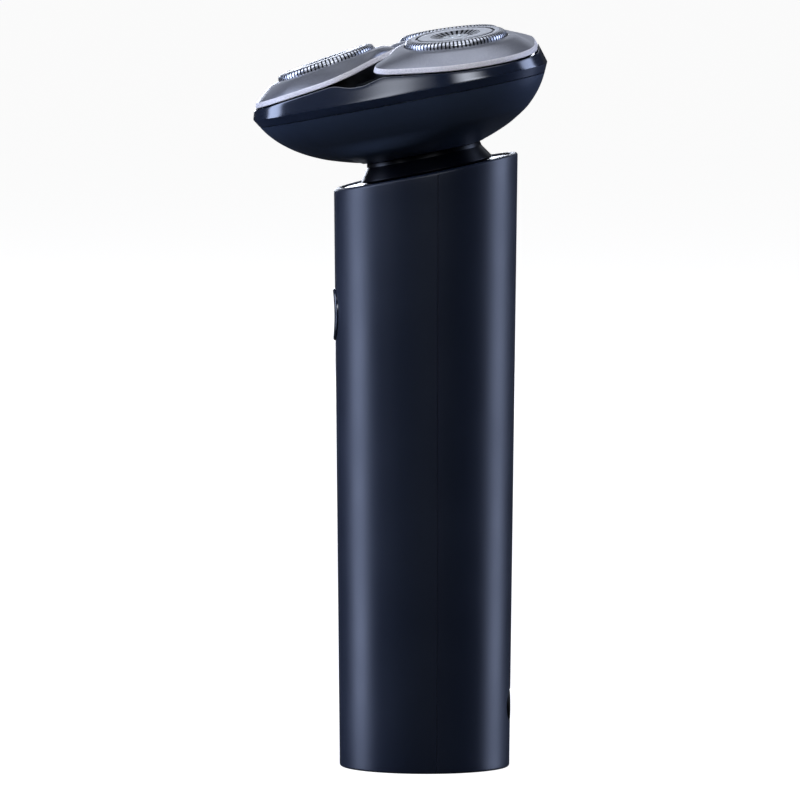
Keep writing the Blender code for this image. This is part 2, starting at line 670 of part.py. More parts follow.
def cover_top(degrees):
    """Height of the cover ring's upper edge: it follows the petals' lips."""
    away = abs((degrees - 30.0 + 60.0) % 120.0 - 60.0)
    reach = 0.985 * rim_radius(degrees) * math.cos(math.radians(away))
    lip = PETAL_UP + (PETAL_OUT - reach) * math.tan(CANT)
    return lip - 0.35 - 0.35 * smooth_step(away / 45.0) - 0.9 * smooth_step((away - 42.0) / 18.0)


def make_cover(shop):
    """Bevelled ring that lifts off the bowl, with the plate that the cutters sit in."""
    def lean(extra):
        points = []
        for x, y, z in rim_loop(1.0, cover_top):
            far = math.hypot(x, y)
            keep = (far - z * COVER_LEAN - extra) / far
            points.append((x * keep, y * keep, z))
        return points

    loops = [rim_loop(0.971, COVER_LOW), rim_loop(1.0, 0.0), lean(0.0), lean(1.1),
             rim_loop(COVER_INNER, 0.9), rim_loop(COVER_INNER, COVER_LOW)]
    shop.piece("cover_ring", loft(loops, closed=True), "navy_gloss", "cover_frame")
    holder = loft([rim_loop(COVER_INNER - 0.012, -1.3), rim_loop(COVER_INNER - 0.012, 0.2)])
    holder = shop.piece("cutter_holder", holder, "dark_plastic", "cover_frame",
                        smooth=False)
    for degrees in PETAL_ANGLES:
        at = at_angle(PETAL_OUT, degrees)
        cut(shop, holder, turned([(13.0, -3.0), (13.0, 2.0)], 32, at))
    add(shop, holder, rib_star())


def rib_star():
    """Three ribs that rise under the gaps between the petals, lower towards the rim."""
    outline = []
    for degrees in GAP_ANGLES:
        angle = math.radians(degrees)
        for side in (-1.0, 1.0):
            outline.append((RIB_REACH * math.cos(angle) - side * RIB_HALF_WIDTH * math.sin(angle),
                            RIB_REACH * math.sin(angle) + side * RIB_HALF_WIDTH * math.cos(angle)))
        outline.append(at_angle(RIB_HALF_WIDTH / math.sin(math.radians(60.0)), degrees + 60.0))
    low = [(x, y, -0.5) for x, y in outline]
    top = [(x, y, RIB_TOP - RIB_FALL * math.hypot(x, y)) for x, y in outline]
    return loft([low, top])


def petal_reach(degrees):
    """Distance from the petal's centre to its edge, all in the petal's own frame.

    Three bounds meet softly: the head's rim and the two lines that part the petals.
    """
    angle = math.radians(degrees)
    toward = Vector((math.cos(angle), math.sin(angle)))
    half_split = PETAL_SPLIT / 2.0
    bounds = []
    for side in (-1.0, 1.0):
        normal = Vector((-math.sin(math.radians(60.0)), side * math.cos(math.radians(60.0))))
        facing = toward.dot(normal)
        distance = PETAL_OUT * math.sin(math.radians(60.0)) - half_split
        if facing > 1e-6:
            bounds.append(distance / facing)
    bounds.append(rim_distance(toward))
    return sum(b ** -PETAL_ROUNDING for b in bounds) ** (-1.0 / PETAL_ROUNDING)


def rim_distance(toward):
    """From the petal's centre to the lip's outline, by halving the interval."""
    low, high = 0.0, 60.0
    for _ in range(40):
        middle = (low + high) / 2.0
        x = PETAL_OUT + toward.x * middle
        y = toward.y * middle
        # The rim's corner lies at 30 degrees in rim_radius.
        rim = rim_radius(math.degrees(math.atan2(y, x)) + 30.0) * PETAL_LIP / CORNER
        if math.hypot(x, y) < rim:
            low = middle
        else:
            high = middle
    return low


def petal_loop(share, height, circle_radius=0.0, roundness=0.0, count=36):
    points = []
    for i in range(count):
        degrees = 360.0 * i / count
        far = petal_reach(degrees) * share * (1.0 - roundness) + circle_radius * roundness
        x, y = at_angle(far, degrees)
        curl = PETAL_CURL * smooth_step((CURL_FROM - PETAL_OUT - x) / CURL_LENGTH)
        points.append((x, y, height + curl * (1.0 - roundness)))
    return points


def make_petals(shop):
    """Three petals, each with its slotted guard cap and the rotary blade under it."""
    for number in range(1, len(PETAL_ANGLES) + 1):
        frame = f"petal_frame_{number}"
        outer = [petal_loop(1.0, 0.0), petal_loop(0.955, 1.15),
                 petal_loop(0.93, 2.3, PETAL_SHOULDER + 1.6, 0.5),
                 petal_loop(0.9, 3.5, PETAL_SHOULDER, 1.0)]
        bore = [circle(PETAL_BORE, 3.95, 36), circle(PETAL_BORE, 2.4, 36)]
        inner = [petal_loop(0.9, 1.6, PETAL_SHOULDER + 0.3, 0.6), petal_loop(0.90, 0.0)]
        shop.piece(f"petal_{number}", loft(outer + bore + inner, closed=True),
                   "petal_paint", frame, PETAL_HINGE)
        profile = [(CAP_RADIUS, 1.6), (CAP_RADIUS, CAP_TOP - 0.4), (CAP_RADIUS - 0.4, CAP_TOP),
                   (8.4, CAP_TOP), (8.3, 4.4), (7.7, 4.4), (7.6, CAP_TOP), (3.2, CAP_TOP),
                   (3.2, 4.15), (9.8, 4.15), (9.8, 1.6)]
        shop.piece(f"guard_cap_{number}", turned(profile, 32, closed=True), "cutter_steel",
                   frame, PETAL_HINGE)
        centre = turned([(2.6, 4.1), (2.9, 4.3), (2.9, 4.75), (2.6, 4.85)], 20)
        shop.piece(f"cap_centre_{number}", centre, "cutter_steel", frame, PETAL_HINGE)
        blade = []
        for tooth in range(BLADE_TEETH):
            for radius, part in ((5.4, 0.0), (BLADE_RADIUS, 0.12), (BLADE_RADIUS, 0.42), (5.4, 0.5)):
                angle = (tooth + part) * math.tau / BLADE_TEETH
                blade.append((radius * math.cos(angle), radius * math.sin(angle)))
        blade = shop.piece(f"blade_{number}", prism(blade, 2.7, 3.8), "cutter_steel", frame,
                           smooth=False)
        add(shop, blade, turned([(3.9, 0.2), (3.9, 3.2)], 20))
        cut(shop, blade, turned([(2.9, -1.0), (2.9, 2.4)], 20))


# ---------------------------------------------------------------- assembly

def make_frames(shop):
    """Empties that carry the pieces: each moving group has one on its joint's axis."""
    shop.frame("handle_frame", Matrix.Identity(4))
    head = Matrix.Translation(HEAD_ORIGIN * MM) @ Matrix.Rotation(TILT, 4, "X")
    shop.frame("button_frame", Matrix.Identity(4))
    shop.frame("head_frame", head)
    shop.frame("gimbal_frame", head)
    shop.frame("bowl_frame", head)
    shop.frame("cover_frame", head)
    for number, degrees in enumerate(PETAL_ANGLES, 1):
        seat = (Matrix.Rotation(math.radians(degrees), 4, "Z")
                @ Matrix.Translation(Vector((PETAL_OUT, 0.0, PETAL_UP)) * MM)
                @ Matrix.Rotation(CANT, 4, "Y"))
        shop.frame(f"petal_frame_{number}", seat, "cover_frame")


def main():
    for old in list(bpy.data.objects):
        bpy.data.objects.remove(old, do_unlink=True)
    shop = Workshop()
    make_frames(shop)
    make_shells(shop)
    make_top_plate(shop)
    make_inner_frame(shop)
    make_motor(shop)
    make_drive_shaft(shop)
    make_power_pack(shop)
    make_button(shop)
    make_port(shop)
    make_neck(shop)
    make_gimbal(shop)
    make_bowl(shop)
    make_gearbox(shop)
    make_gears(shop)
    make_cover(shop)
    make_petals(shop)


main()
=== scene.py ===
"""Looks of the rotary shaver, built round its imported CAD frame.

Lengths are in millimetres until a mesh is made. The head's own frame has its origin
where the axis of the three cutters crosses the plane of the rim, y towards the back
along the rim and z along the cutters' axis; each petal has a frame of its own, leaning
outward, with x pointing away from the head's axis.
"""

import json
import math

import bmesh
import bpy
from mathutils import Matrix, Vector


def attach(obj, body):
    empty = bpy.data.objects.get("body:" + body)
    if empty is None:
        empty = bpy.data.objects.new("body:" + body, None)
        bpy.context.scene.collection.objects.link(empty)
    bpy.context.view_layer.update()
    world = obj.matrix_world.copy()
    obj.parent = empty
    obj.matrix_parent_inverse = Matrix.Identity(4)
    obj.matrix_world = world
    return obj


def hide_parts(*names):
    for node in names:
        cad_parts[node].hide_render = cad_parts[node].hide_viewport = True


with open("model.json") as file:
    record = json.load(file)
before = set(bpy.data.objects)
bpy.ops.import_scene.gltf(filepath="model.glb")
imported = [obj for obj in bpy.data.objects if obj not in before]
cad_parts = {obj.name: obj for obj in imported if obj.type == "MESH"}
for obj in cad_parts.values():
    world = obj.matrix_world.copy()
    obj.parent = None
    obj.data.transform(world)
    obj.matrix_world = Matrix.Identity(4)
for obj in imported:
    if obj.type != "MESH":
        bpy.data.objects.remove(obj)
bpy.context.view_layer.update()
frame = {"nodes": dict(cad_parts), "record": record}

MM = 0.001
TAU = math.tau

# ---------------------------------------------------------------- driving dimensions

TILT = math.radians(11.5)
TOP_HEIGHT = 124.0
BASE_HALF_DEPTH = 17.7
TOP_HALF_DEPTH = 19.1
WIDTH_RATIO = 1.05
WALL = 1.2
WALL_COLUMNS = 96
SLANT_FROM = 106.0          # above this height the wall's rows turn towards the slanted top
FLOOR = 2.0
SEAM_Y = 1.7
SEAM_HALF = 0.025           # half of the hairline between the two shells
RIM_UP = 0.3                # how far the rim stands over TOP_HEIGHT
RIM_ROUND = 0.65            # rounding of the rim's outer edge

PLATE_IN = 1.36             # from the handle's skin in to the plate's edge
PLATE_SINK = 0.35           # from the rim down to the plate
PLATE_BACK = 2.0            # from the rim down to the plate's underside
NECK_HOLE = 7.75            # radius of the hole that the neck plugs into

BUTTON_Z = 94.3
BUTTON_HALF = (4.3, 5.4)
BUTTON_GAP = 0.2
BUTTON_PROUD = 0.42
BUTTON_ROUND = 0.30
PORT_Z = 12.9
PORT_HALF = (6.0, 3.3)
PORT_GAP = 0.08
PORT_SINK = 0.22            # from the handle's skin in to the bezel's flat face
PORT_BACK = 14.3            # how far behind the handle's axis the bezel begins
SOCKET_HALF = (4.77, 1.88)

HEAD_ORIGIN = Vector((0.0, -1.56, 141.7))
CORNER = 35.0               # from the head's axis to the rim's three corners
SIDE = 27.2                 # and to the middles of its three sides
CORNER_ARC = 17.1
RIM_POINTS = 240
PIVOT_Z = -11.6             # where the gimbal's axes cross
NECK_Y = -1.8
NECK_SEAT = 17.6            # from the rim's plane down to the plate on the handle
BOWL_MOUTH = 12.5
BOWL_BOTTOM = -13.5
BOWL_WALL = 0.056
# Bowl: height under the rim and size against the rim's outline.
BOWL_PROFILE = (
    (-1.86, 0.9685), (-3.0, 0.947), (-4.05, 0.924), (-5.1, 0.897), (-6.2, 0.864),
    (-7.3, 0.825), (-8.2, 0.789), (-9.2, 0.742), (-10.1, 0.692), (-11.1, 0.628),
    (-12.05, 0.548), (-12.85, 0.470), (-13.2, 0.428),
)

BAND_LOW = -1.72            # lower edge of the cover ring

PETAL_ANGLES = (-90.0, 30.0, 150.0)
CANT = math.radians(8.0)
PETAL_OUT = 17.28
PETAL_UP = 4.5
LIP_INSIDE = 0.28           # from the cover ring's upper edge in to a petal's lip
LIP_GAP = 0.2               # from the cover ring's upper edge up to a petal's lip
BEVEL_LEAN = math.tan(math.radians(16.0))
PETAL_SPLIT = 0.9
PETAL_ROUNDING = 7.0        # how sharply the rim and the two splits meet
PETAL_WEDGE = 3.5           # how much each split opens towards the rim, in degrees
PETAL_CURL = 1.15           # rise of the lip at the petal's inner end, over its own plane
PETAL_SHOULDER = 12.75      # radius where the petal's sloping side ends
PETAL_BORE = 10.8
CAP_RADIUS = 10.5
CAP_TOP = 5.05
CAP_THICK = 0.44
SLOT_DEPTH = 0.34
OUTER_SLOTS = 78
INNER_SLOTS = 26
SLOT_COLUMNS = 5            # columns of the cap's grid to each outer slot

HEAD = Matrix.Translation(HEAD_ORIGIN * MM) @ Matrix.Rotation(TILT, 4, "X")
WORLD = Matrix.Identity(4)
OWN_FRAME = "own_frame"     # attribute that keeps a vertex's place in its piece's own frame


def petal_frame(number):
    """The own frame of a petal, its cap and its blade."""
    turn = Matrix.Rotation(math.radians(PETAL_ANGLES[number]), 4, "Z")
    seat = Matrix.Translation(Vector((PETAL_OUT, 0.0, PETAL_UP)) * MM)
    return HEAD @ turn @ seat @ Matrix.Rotation(CANT, 4, "Y")


# ---------------------------------------------------------------- mesh helpers

def piece(name, shape, body, finish, replaces=(), place=WORLD, sharp=40.0):
    """Make a mesh, put it in its frame and let it ride on its body.

    Each vertex keeps its place in the piece's own frame, for finishes that need the axis.
    """
    verts, faces = shape
    mesh = bpy.data.meshes.new(name)
    mesh.from_pydata([(x * MM, y * MM, z * MM) for x, y, z in verts], [], faces)
    work = bmesh.new()
    work.from_mesh(mesh)
    bmesh.ops.recalc_face_normals(work, faces=work.faces)
    work.to_mesh(mesh)
    work.free()
    mesh.shade_smooth()
    mesh.set_sharp_from_angle(angle=math.radians(sharp))
    mesh.materials.append(finish)
    own = mesh.attributes.new(OWN_FRAME, "FLOAT_VECTOR", "POINT")
    own.data.foreach_set("vector", [c for vertex in mesh.vertices for c in vertex.co])
    mesh.transform(place)
    made = bpy.data.objects.new(name, mesh)
    bpy.context.collection.objects.link(made)
    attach(made, body)
    if replaces:
        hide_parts(*replaces)
    return made


def skin(loops, closed=False, caps=True):
    """Faces between loops of equal length: capped at the ends, or closed like a tyre."""
    count = len(loops[0])
    verts = [point for loop in loops for point in loop]
    faces = []
    spans = len(loops) if closed else len(loops) - 1
    for level in range(spans):
        low = level * count
        high = ((level + 1) % len(loops)) * count
        for step in range(count):
            after = (step + 1) % count
            faces.append((low + step, low + after, high + after, high + step))
    if caps and not closed:
        faces.append(tuple(range(count - 1, -1, -1)))
        faces.append(tuple(range(len(verts) - count, len(verts))))
    return verts, faces


def filleted(points, steps=4, closed=False):
    """Round a profile's corners: each point is (across, up) or (across, up, radius)."""
    total = len(points)
    rounded = []
    for i, point in enumerate(points):
        here = Vector(point[:2])
        radius = point[2] if len(point) > 2 else 0.0
        inner = closed or 0 < i < total - 1
        if radius <= 0.0 or not inner:
            rounded.append(tuple(here))
            continue
        before = (Vector(points[i - 1][:2]) - here).normalized()
        after = (Vector(points[(i + 1) % total][:2]) - here).normalized()
        half = before.angle(after) / 2.0
        reach = radius / math.tan(half)
        centre = here + (before + after).normalized() * (radius / math.sin(half))
        first = here + before * reach - centre
        last = here + after * reach - centre
        sweep = first.angle_signed(last)
        for step in range(steps + 1):
            share = step / steps
            turned = first.copy()
            turned.rotate(Matrix.Rotation(-sweep * share, 2))
            rounded.append(tuple(centre + turned))
    return rounded


def ring(radius, height, count, centre=(0.0, 0.0), start=0.0):
    """Points round a level circle."""
    return [
        (centre[0] + radius * math.cos(start + TAU * i / count),
         centre[1] + radius * math.sin(start + TAU * i / count), height)
        for i in range(count)
    ]


def turned(profile, count=96, centre=(0.0, 0.0), closed=False):
    """A profile of (radius, height) points turned about the z axis."""
    return skin([ring(r, z, count, centre) for r, z in profile], closed)


def smooth_step(value):
    value = min(max(value, 0.0), 1.0)
    return value * value * (3.0 - 2.0 * value)


def blend(a, b, share):
    return a + (b - a) * share


def through(points, count):
    """Smooth curve of count + 1 points through the given (across, up) points."""
    last = len(points) - 1
    curve = []
    for step in range(count + 1):
        place = last * step / count
        i = min(int(place), last - 1)
        t = place - i
        p0, p1 = points[max(i - 1, 0)], points[i]
        p2, p3 = points[i + 1], points[min(i + 2, last)]
        curve.append(tuple(
            0.5 * (2.0 * p1[k] + (p2[k] - p0[k]) * t
                   + (2.0 * p0[k] - 5.0 * p1[k] + 4.0 * p2[k] - p3[k]) * t * t
                   + (3.0 * p1[k] - p0[k] - 3.0 * p2[k] + p3[k]) * t ** 3)
            for k in (0, 1)))
    return curve


# ---------------------------------------------------------------- outlines

def half_depth(z):
    """Half of the handle's size from front to back, at a height."""
    return BASE_HALF_DEPTH + (TOP_HALF_DEPTH - BASE_HALF_DEPTH) * z / TOP_HEIGHT


def top_of_handle(y):
    """Height of the slanted rim, at a place from front to back."""
    return TOP_HEIGHT + RIM_UP + y * math.tan(TILT)


def from_corner(degrees):
    """Degrees from the nearest of the rim's corners, which lie at 30, 150 and 270 degrees."""
    return abs((degrees - 30.0 + 60.0) % 120.0 - 60.0)


def rim_radius(degrees):
    """Distance from the head's axis to its rim: three corner arcs and three side arcs."""
    away = from_corner(degrees)
    corner_at = CORNER - CORNER_ARC
    # The side arc touches the corner arc and passes SIDE from the axis.
    spare = SIDE - CORNER_ARC
    side_at = (corner_at ** 2 - spare ** 2) / (2.0 * spare - corner_at)
    sixty = math.radians(60.0)
    corner = Vector((corner_at, 0.0))
    behind = Vector((-side_at * math.cos(sixty), -side_at * math.sin(sixty)))
    touch = corner + (corner - behind).normalized() * CORNER_ARC
    if away < math.degrees(math.atan2(touch.y, touch.x)):
        angle = math.radians(away)
        return corner_at * math.cos(angle) + math.sqrt(
            CORNER_ARC ** 2 - (corner_at * math.sin(angle)) ** 2)
    angle = math.radians(60.0 - away)
    return -side_at * math.cos(angle) + math.sqrt(
        (side_at + SIDE) ** 2 - (side_at * math.sin(angle)) ** 2)


def rim_loop(scale, height, roundness=0.0, inward=0.0):
    """The rim's outline at a scale; roundness 1 makes it the circle of the same depth."""
    middle = -(CORNER - SIDE) / 2.0 * scale
    radius = (CORNER + SIDE) / 2.0 * scale
    points = []
    for i in range(RIM_POINTS):
        degrees = -90.0 + 360.0 * i / RIM_POINTS
        angle = math.radians(degrees)
        z = height(degrees) if callable(height) else height
        pull = inward(degrees) if callable(inward) else inward
        far = rim_radius(degrees) * scale - pull
        x = blend(far * math.cos(angle), radius * math.cos(angle), roundness)
        y = blend(far * math.sin(angle), middle + radius * math.sin(angle), roundness)
        points.append((x, y, z))
    return points


# ---------------------------------------------------------------- materials

class Finish:
    """A Principled material with helpers for the small variations that real surfaces have."""

    def __init__(self, name, colour, roughness, metallic=0.0, specular=0.5):
        self.made = bpy.data.materials.new(name)
        self.made.use_nodes = True
        self.tree = self.made.node_tree
        self.shader = self.tree.nodes["Principled BSDF"]
        self.shader.inputs["Base Color"].default_value = (*colour, 1.0)
        self.shader.inputs["Roughness"].default_value = roughness
        self.shader.inputs["Metallic"].default_value = metallic
        self.shader.inputs["Specular IOR Level"].default_value = specular
        self.colour = colour
        self.roughness = roughness
        self.coords = self.node("ShaderNodeTexCoord").outputs["Object"]
        self.normal = None

    def node(self, kind, **settings):
        made = self.tree.nodes.new(kind)
        for key, value in settings.items():
            setattr(made, key, value)
        return made

    def link(self, a, b):
        self.tree.links.new(a, b)

    def noise(self, per_mm, detail=2.0):
        """Noise with so many cells to the millimetre."""
        made = self.node("ShaderNodeTexNoise")
        made.inputs["Scale"].default_value = per_mm / MM
        made.inputs["Detail"].default_value = detail
        self.link(self.coords, made.inputs["Vector"])
        return made.outputs["Fac"]

    def radius(self):
        """Distance from the z axis of the piece's own frame, in metres."""
        own = self.node("ShaderNodeAttribute", attribute_name=OWN_FRAME)
        apart = self.node("ShaderNodeSeparateXYZ")
        self.link(own.outputs["Vector"], apart.inputs[0])
        joined = self.node("ShaderNodeCombineXYZ")
        self.link(apart.outputs["X"], joined.inputs["X"])
        self.link(apart.outputs["Y"], joined.inputs["Y"])
        length = self.node("ShaderNodeVectorMath", operation="LENGTH")
        self.link(joined.outputs[0], length.inputs[0])
        return length.outputs["Value"]

    def spread(self, fac, low, high, start=0.3, end=0.7):
        """Stretch the part of a texture from start to end over the range low to high."""
        made = self.node("ShaderNodeMapRange")
        made.inputs["From Min"].default_value = start
        made.inputs["From Max"].default_value = end
        made.inputs["To Min"].default_value = low
        made.inputs["To Max"].default_value = high
        self.link(fac, made.inputs["Value"])
        return made.outputs["Result"]

    def vary_roughness(self, fac, amount):
        self.link(self.spread(fac, self.roughness - amount, self.roughness + amount),
                  self.shader.inputs["Roughness"])

    def vary_colour(self, fac, other, start=0.3, end=0.7):
        mix = self.node("ShaderNodeMix", data_type="RGBA")
        mix.inputs["A"].default_value = (*self.colour, 1.0)
        mix.inputs["B"].default_value = (*other, 1.0)
        self.link(self.spread(fac, 0.0, 1.0, start, end), mix.inputs["Factor"])
        self.link(mix.outputs["Result"], self.shader.inputs["Base Color"])

    def bump(self, fac, depth_mm):
        """Relief of a depth, which adds to any relief made before it."""
        made = self.node("ShaderNodeBump")
        made.inputs["Strength"].default_value = 1.0
        made.inputs["Distance"].default_value = depth_mm * MM
        self.link(fac, made.inputs["Height"])
        if self.normal:
            self.link(self.normal, made.inputs["Normal"])
        self.normal = made.outputs["Normal"]
        self.link(self.normal, self.shader.inputs["Normal"])


def moulded(name, colour, roughness, grain_mm=0.12, depth=0.004, specular=0.5):
    """Moulded plastic: a fine spark-eroded grain and slightly uneven gloss."""
    made = Finish(name, colour, roughness, specular=specular)
    grain = made.noise(1.0 / grain_mm, 3.0)
    cloud = made.noise(0.05, 2.0)
    made.bump(grain, depth)
    made.vary_roughness(cloud, 0.03)
    made.vary_colour(cloud, tuple(c * 1.12 for c in colour))
    return made.made


def polished(name, colour, roughness, specular=1.0):
    """Gloss plastic: almost a mirror, with a faint orange peel."""
    made = Finish(name, colour, roughness, specular=specular)
    made.bump(made.noise(0.35, 1.0), 0.0006)
    made.vary_roughness(made.noise(0.08, 3.0), 0.015)
    return made.made


def metallic_paint(name, colour, roughness=0.36, metallic=0.72):
    """Satin grey paint with fine metal flake under it."""
    made = Finish(name, colour, roughness, metallic=metallic, specular=0.5)
    flake = made.node("ShaderNodeTexVoronoi")
    flake.inputs["Scale"].default_value = 9.0 / MM
    made.link(made.coords, flake.inputs["Vector"])
    made.vary_colour(flake.outputs["Color"], tuple(c * 1.32 for c in colour), 0.25, 0.85)
    made.bump(made.noise(6.0, 2.0), 0.0035)
    made.vary_roughness(made.noise(0.4, 2.0), 0.04)
    return made.made


def turned_steel(name, colour, roughness, per_mm=14.0):
    """Steel finished on a lathe: fine rings about the piece's own z axis."""
    made = Finish(name, colour, roughness, metallic=1.0)
    rings = made.node("ShaderNodeTexNoise", noise_dimensions="1D")
    rings.inputs["Scale"].default_value = per_mm / MM
    rings.inputs["Detail"].default_value = 2.0
    made.link(made.radius(), rings.inputs["W"])
    made.bump(rings.outputs["Fac"], 0.0012)
    made.vary_roughness(rings.outputs["Fac"], 0.05)
    made.vary_colour(made.noise(0.25, 3.0), tuple(c * 0.9 for c in colour))
    return made.made


def plain_steel(name, colour, roughness):
    """Steel with fine, even scratches in no one direction."""
    made = Finish(name, colour, roughness, metallic=1.0)
    made.bump(made.noise(3.0, 3.0), 0.0015)
    made.vary_roughness(made.noise(0.6, 2.0), 0.06)
    return made.made


def make_finishes():
    """Each look under its short name: its maker, and what the maker takes after the name."""
    looks = {
        "navy_satin": (moulded, (0.0085, 0.0140, 0.0310), 0.40, 0.10, 0.0025),
        # The bowl's navy plastic, made several times lighter than the handle's to paint in the
        # light that falls on the bowl.
        "navy_bowl_painted_light": (moulded, (0.0450, 0.0660, 0.1150), 0.42, 0.10, 0.0025),
        "navy_gloss": (polished, (0.0100, 0.0165, 0.0350), 0.17),
        "navy_band": (moulded, (0.0200, 0.0320, 0.0650), 0.36, 0.10, 0.002),
        "plate_gloss": (polished, (0.0060, 0.0090, 0.0160), 0.26, 0.28),
        "neck_black": (moulded, (0.0008, 0.0014, 0.0040), 0.30, 0.12, 0.002, 0.14),
        # Black plastic; in the guard caps it is also painted shade on the slot floors, slot walls
        # and track.
        "black_plastic_and_painted_shade": (moulded, (0.0035, 0.0045, 0.0065), 0.35),
        "inner_plastic": (moulded, (0.10, 0.11, 0.12), 0.55, 0.2, 0.01),
        "gear_plastic": (moulded, (0.70, 0.69, 0.64), 0.42, 0.2, 0.006),
        "petal_paint": (metallic_paint, (0.262, 0.264, 0.285)),
        # Lip and chamfer: a rougher, less metallic finish, with a light colour that is a painted
        # highlight for the light the chamfer catches.
        "petal_lip_painted_highlight": (metallic_paint, (0.700, 0.665, 0.660), 0.60, 0.18),
        "cap_steel": (turned_steel, (0.73, 0.74, 0.77), 0.37),
        "disc_steel": (turned_steel, (0.55, 0.58, 0.60), 0.26, 20.0),
        # Blade steel, darker than the other steel, partly as painted shade inside the caps.
        "blade_steel": (plain_steel, (0.42, 0.42, 0.43), 0.28),
        "machine_steel": (plain_steel, (0.55, 0.55, 0.57), 0.25),
        "cell_wrap": (moulded, (0.03, 0.15, 0.30), 0.3, 0.6, 0.004),
        "board_green": (moulded, (0.015, 0.10, 0.045), 0.4, 0.5, 0.01),
        "seal_rubber": (moulded, (0.016, 0.016, 0.018), 0.75, 0.2, 0.012),
    }
    return {name: maker(name + "_look", *values) for name, (maker, *values) in looks.items()}


# ---------------------------------------------------------------- handle

def oval_reach(angle, half):
    """Distance to the edge of an oval, in a direction."""
    return 1.0 / math.hypot(math.cos(angle) / half[0], math.sin(angle) / half[1])


def pill_reach(angle, half):
    """Distance to the edge of an outline with two round ends, in a direction."""
    straight = half[0] - half[1]
    across, up = abs(math.cos(angle)), abs(math.sin(angle))
    if up > 1e-6 and half[1] * across / up <= straight:
        return half[1] / up
    return straight * across + math.sqrt(half[1] ** 2 - (straight * up) ** 2)


def on_wall(side, x, z, inset=0.0):
    """The point of the handle's wall at a place across and up, at a depth under its skin."""
    depth = half_depth(z) - inset
    width = half_depth(z) * WIDTH_RATIO - inset
    return x, side * depth * math.sqrt(max(0.0, 1.0 - (x / width) ** 2)), z


class Row:
    """One row of the wall: level at a height, or parallel to the slanted top."""

    def __init__(self, inset, level=None, share=None, drop=0.0):
        self.inset = inset
        self.level = level
        self.share = share
        self.drop = drop

    def points(self, side, columns):
        found = []
        for i in range(columns + 1):
            y, z = 0.0, self.level if self.share is None else TOP_HEIGHT
            for _ in range(4):
                depth = half_depth(z) - self.inset
                width = half_depth(z) * WIDTH_RATIO - self.inset
                seam = SEAM_Y + side * SEAM_HALF
                first = math.asin(seam / depth)
                sweep = math.pi - side * 2.0 * first
                angle = first + side * sweep * i / columns
                y = depth * math.sin(angle)
                if self.share is not None:
                    z = SLANT_FROM + self.share * (top_of_handle(y) - SLANT_FROM)
                    z -= self.drop
            found.append((width * math.cos(angle), seam if i in (0, columns) else y, z))
        return found


def wall_rows(hole_levels):
    """Rows from the foot up the outside, over the rim and down the inside to the floor."""
    foot = 0.45
    rows = []
    for step in range(6):
        angle = math.pi / 2.0 * step / 5
        rows.append(Row(foot * (1.0 - math.sin(angle)), level=foot * (1.0 - math.cos(angle))))
    low, high = hole_levels[0], hole_levels[-1]
    below = [foot + (low - foot) * i / 8 for i in range(1, 8)]
    above = [high + (SLANT_FROM - high) * i / 8 for i in range(1, 9) if high < SLANT_FROM]
    levels = below + list(hole_levels) + above
    rows += [Row(0.0, level=z) for z in levels]
    rows += [Row(0.0, share=i / 6) for i in range(1, 6)]
    for step in range(9):
        angle = math.pi / 2.0 * step / 8
        rows.append(Row(RIM_ROUND * (1.0 - math.cos(angle)), share=1.0,
                        drop=RIM_ROUND * (1.0 - math.sin(angle))))
    rows += [Row(WALL - 0.10, share=1.0), Row(WALL - 0.03, share=1.0, drop=0.03),
             Row(WALL, share=1.0, drop=0.1), Row(WALL, share=1.0, drop=1.0)]
    rows += [Row(WALL, share=i / 3) for i in range(2, 0, -1)]
    rows += [Row(WALL, level=z) for z in reversed(levels) if z > FLOOR + 1.0]
    rows.append(Row(WALL, level=FLOOR))
    return rows


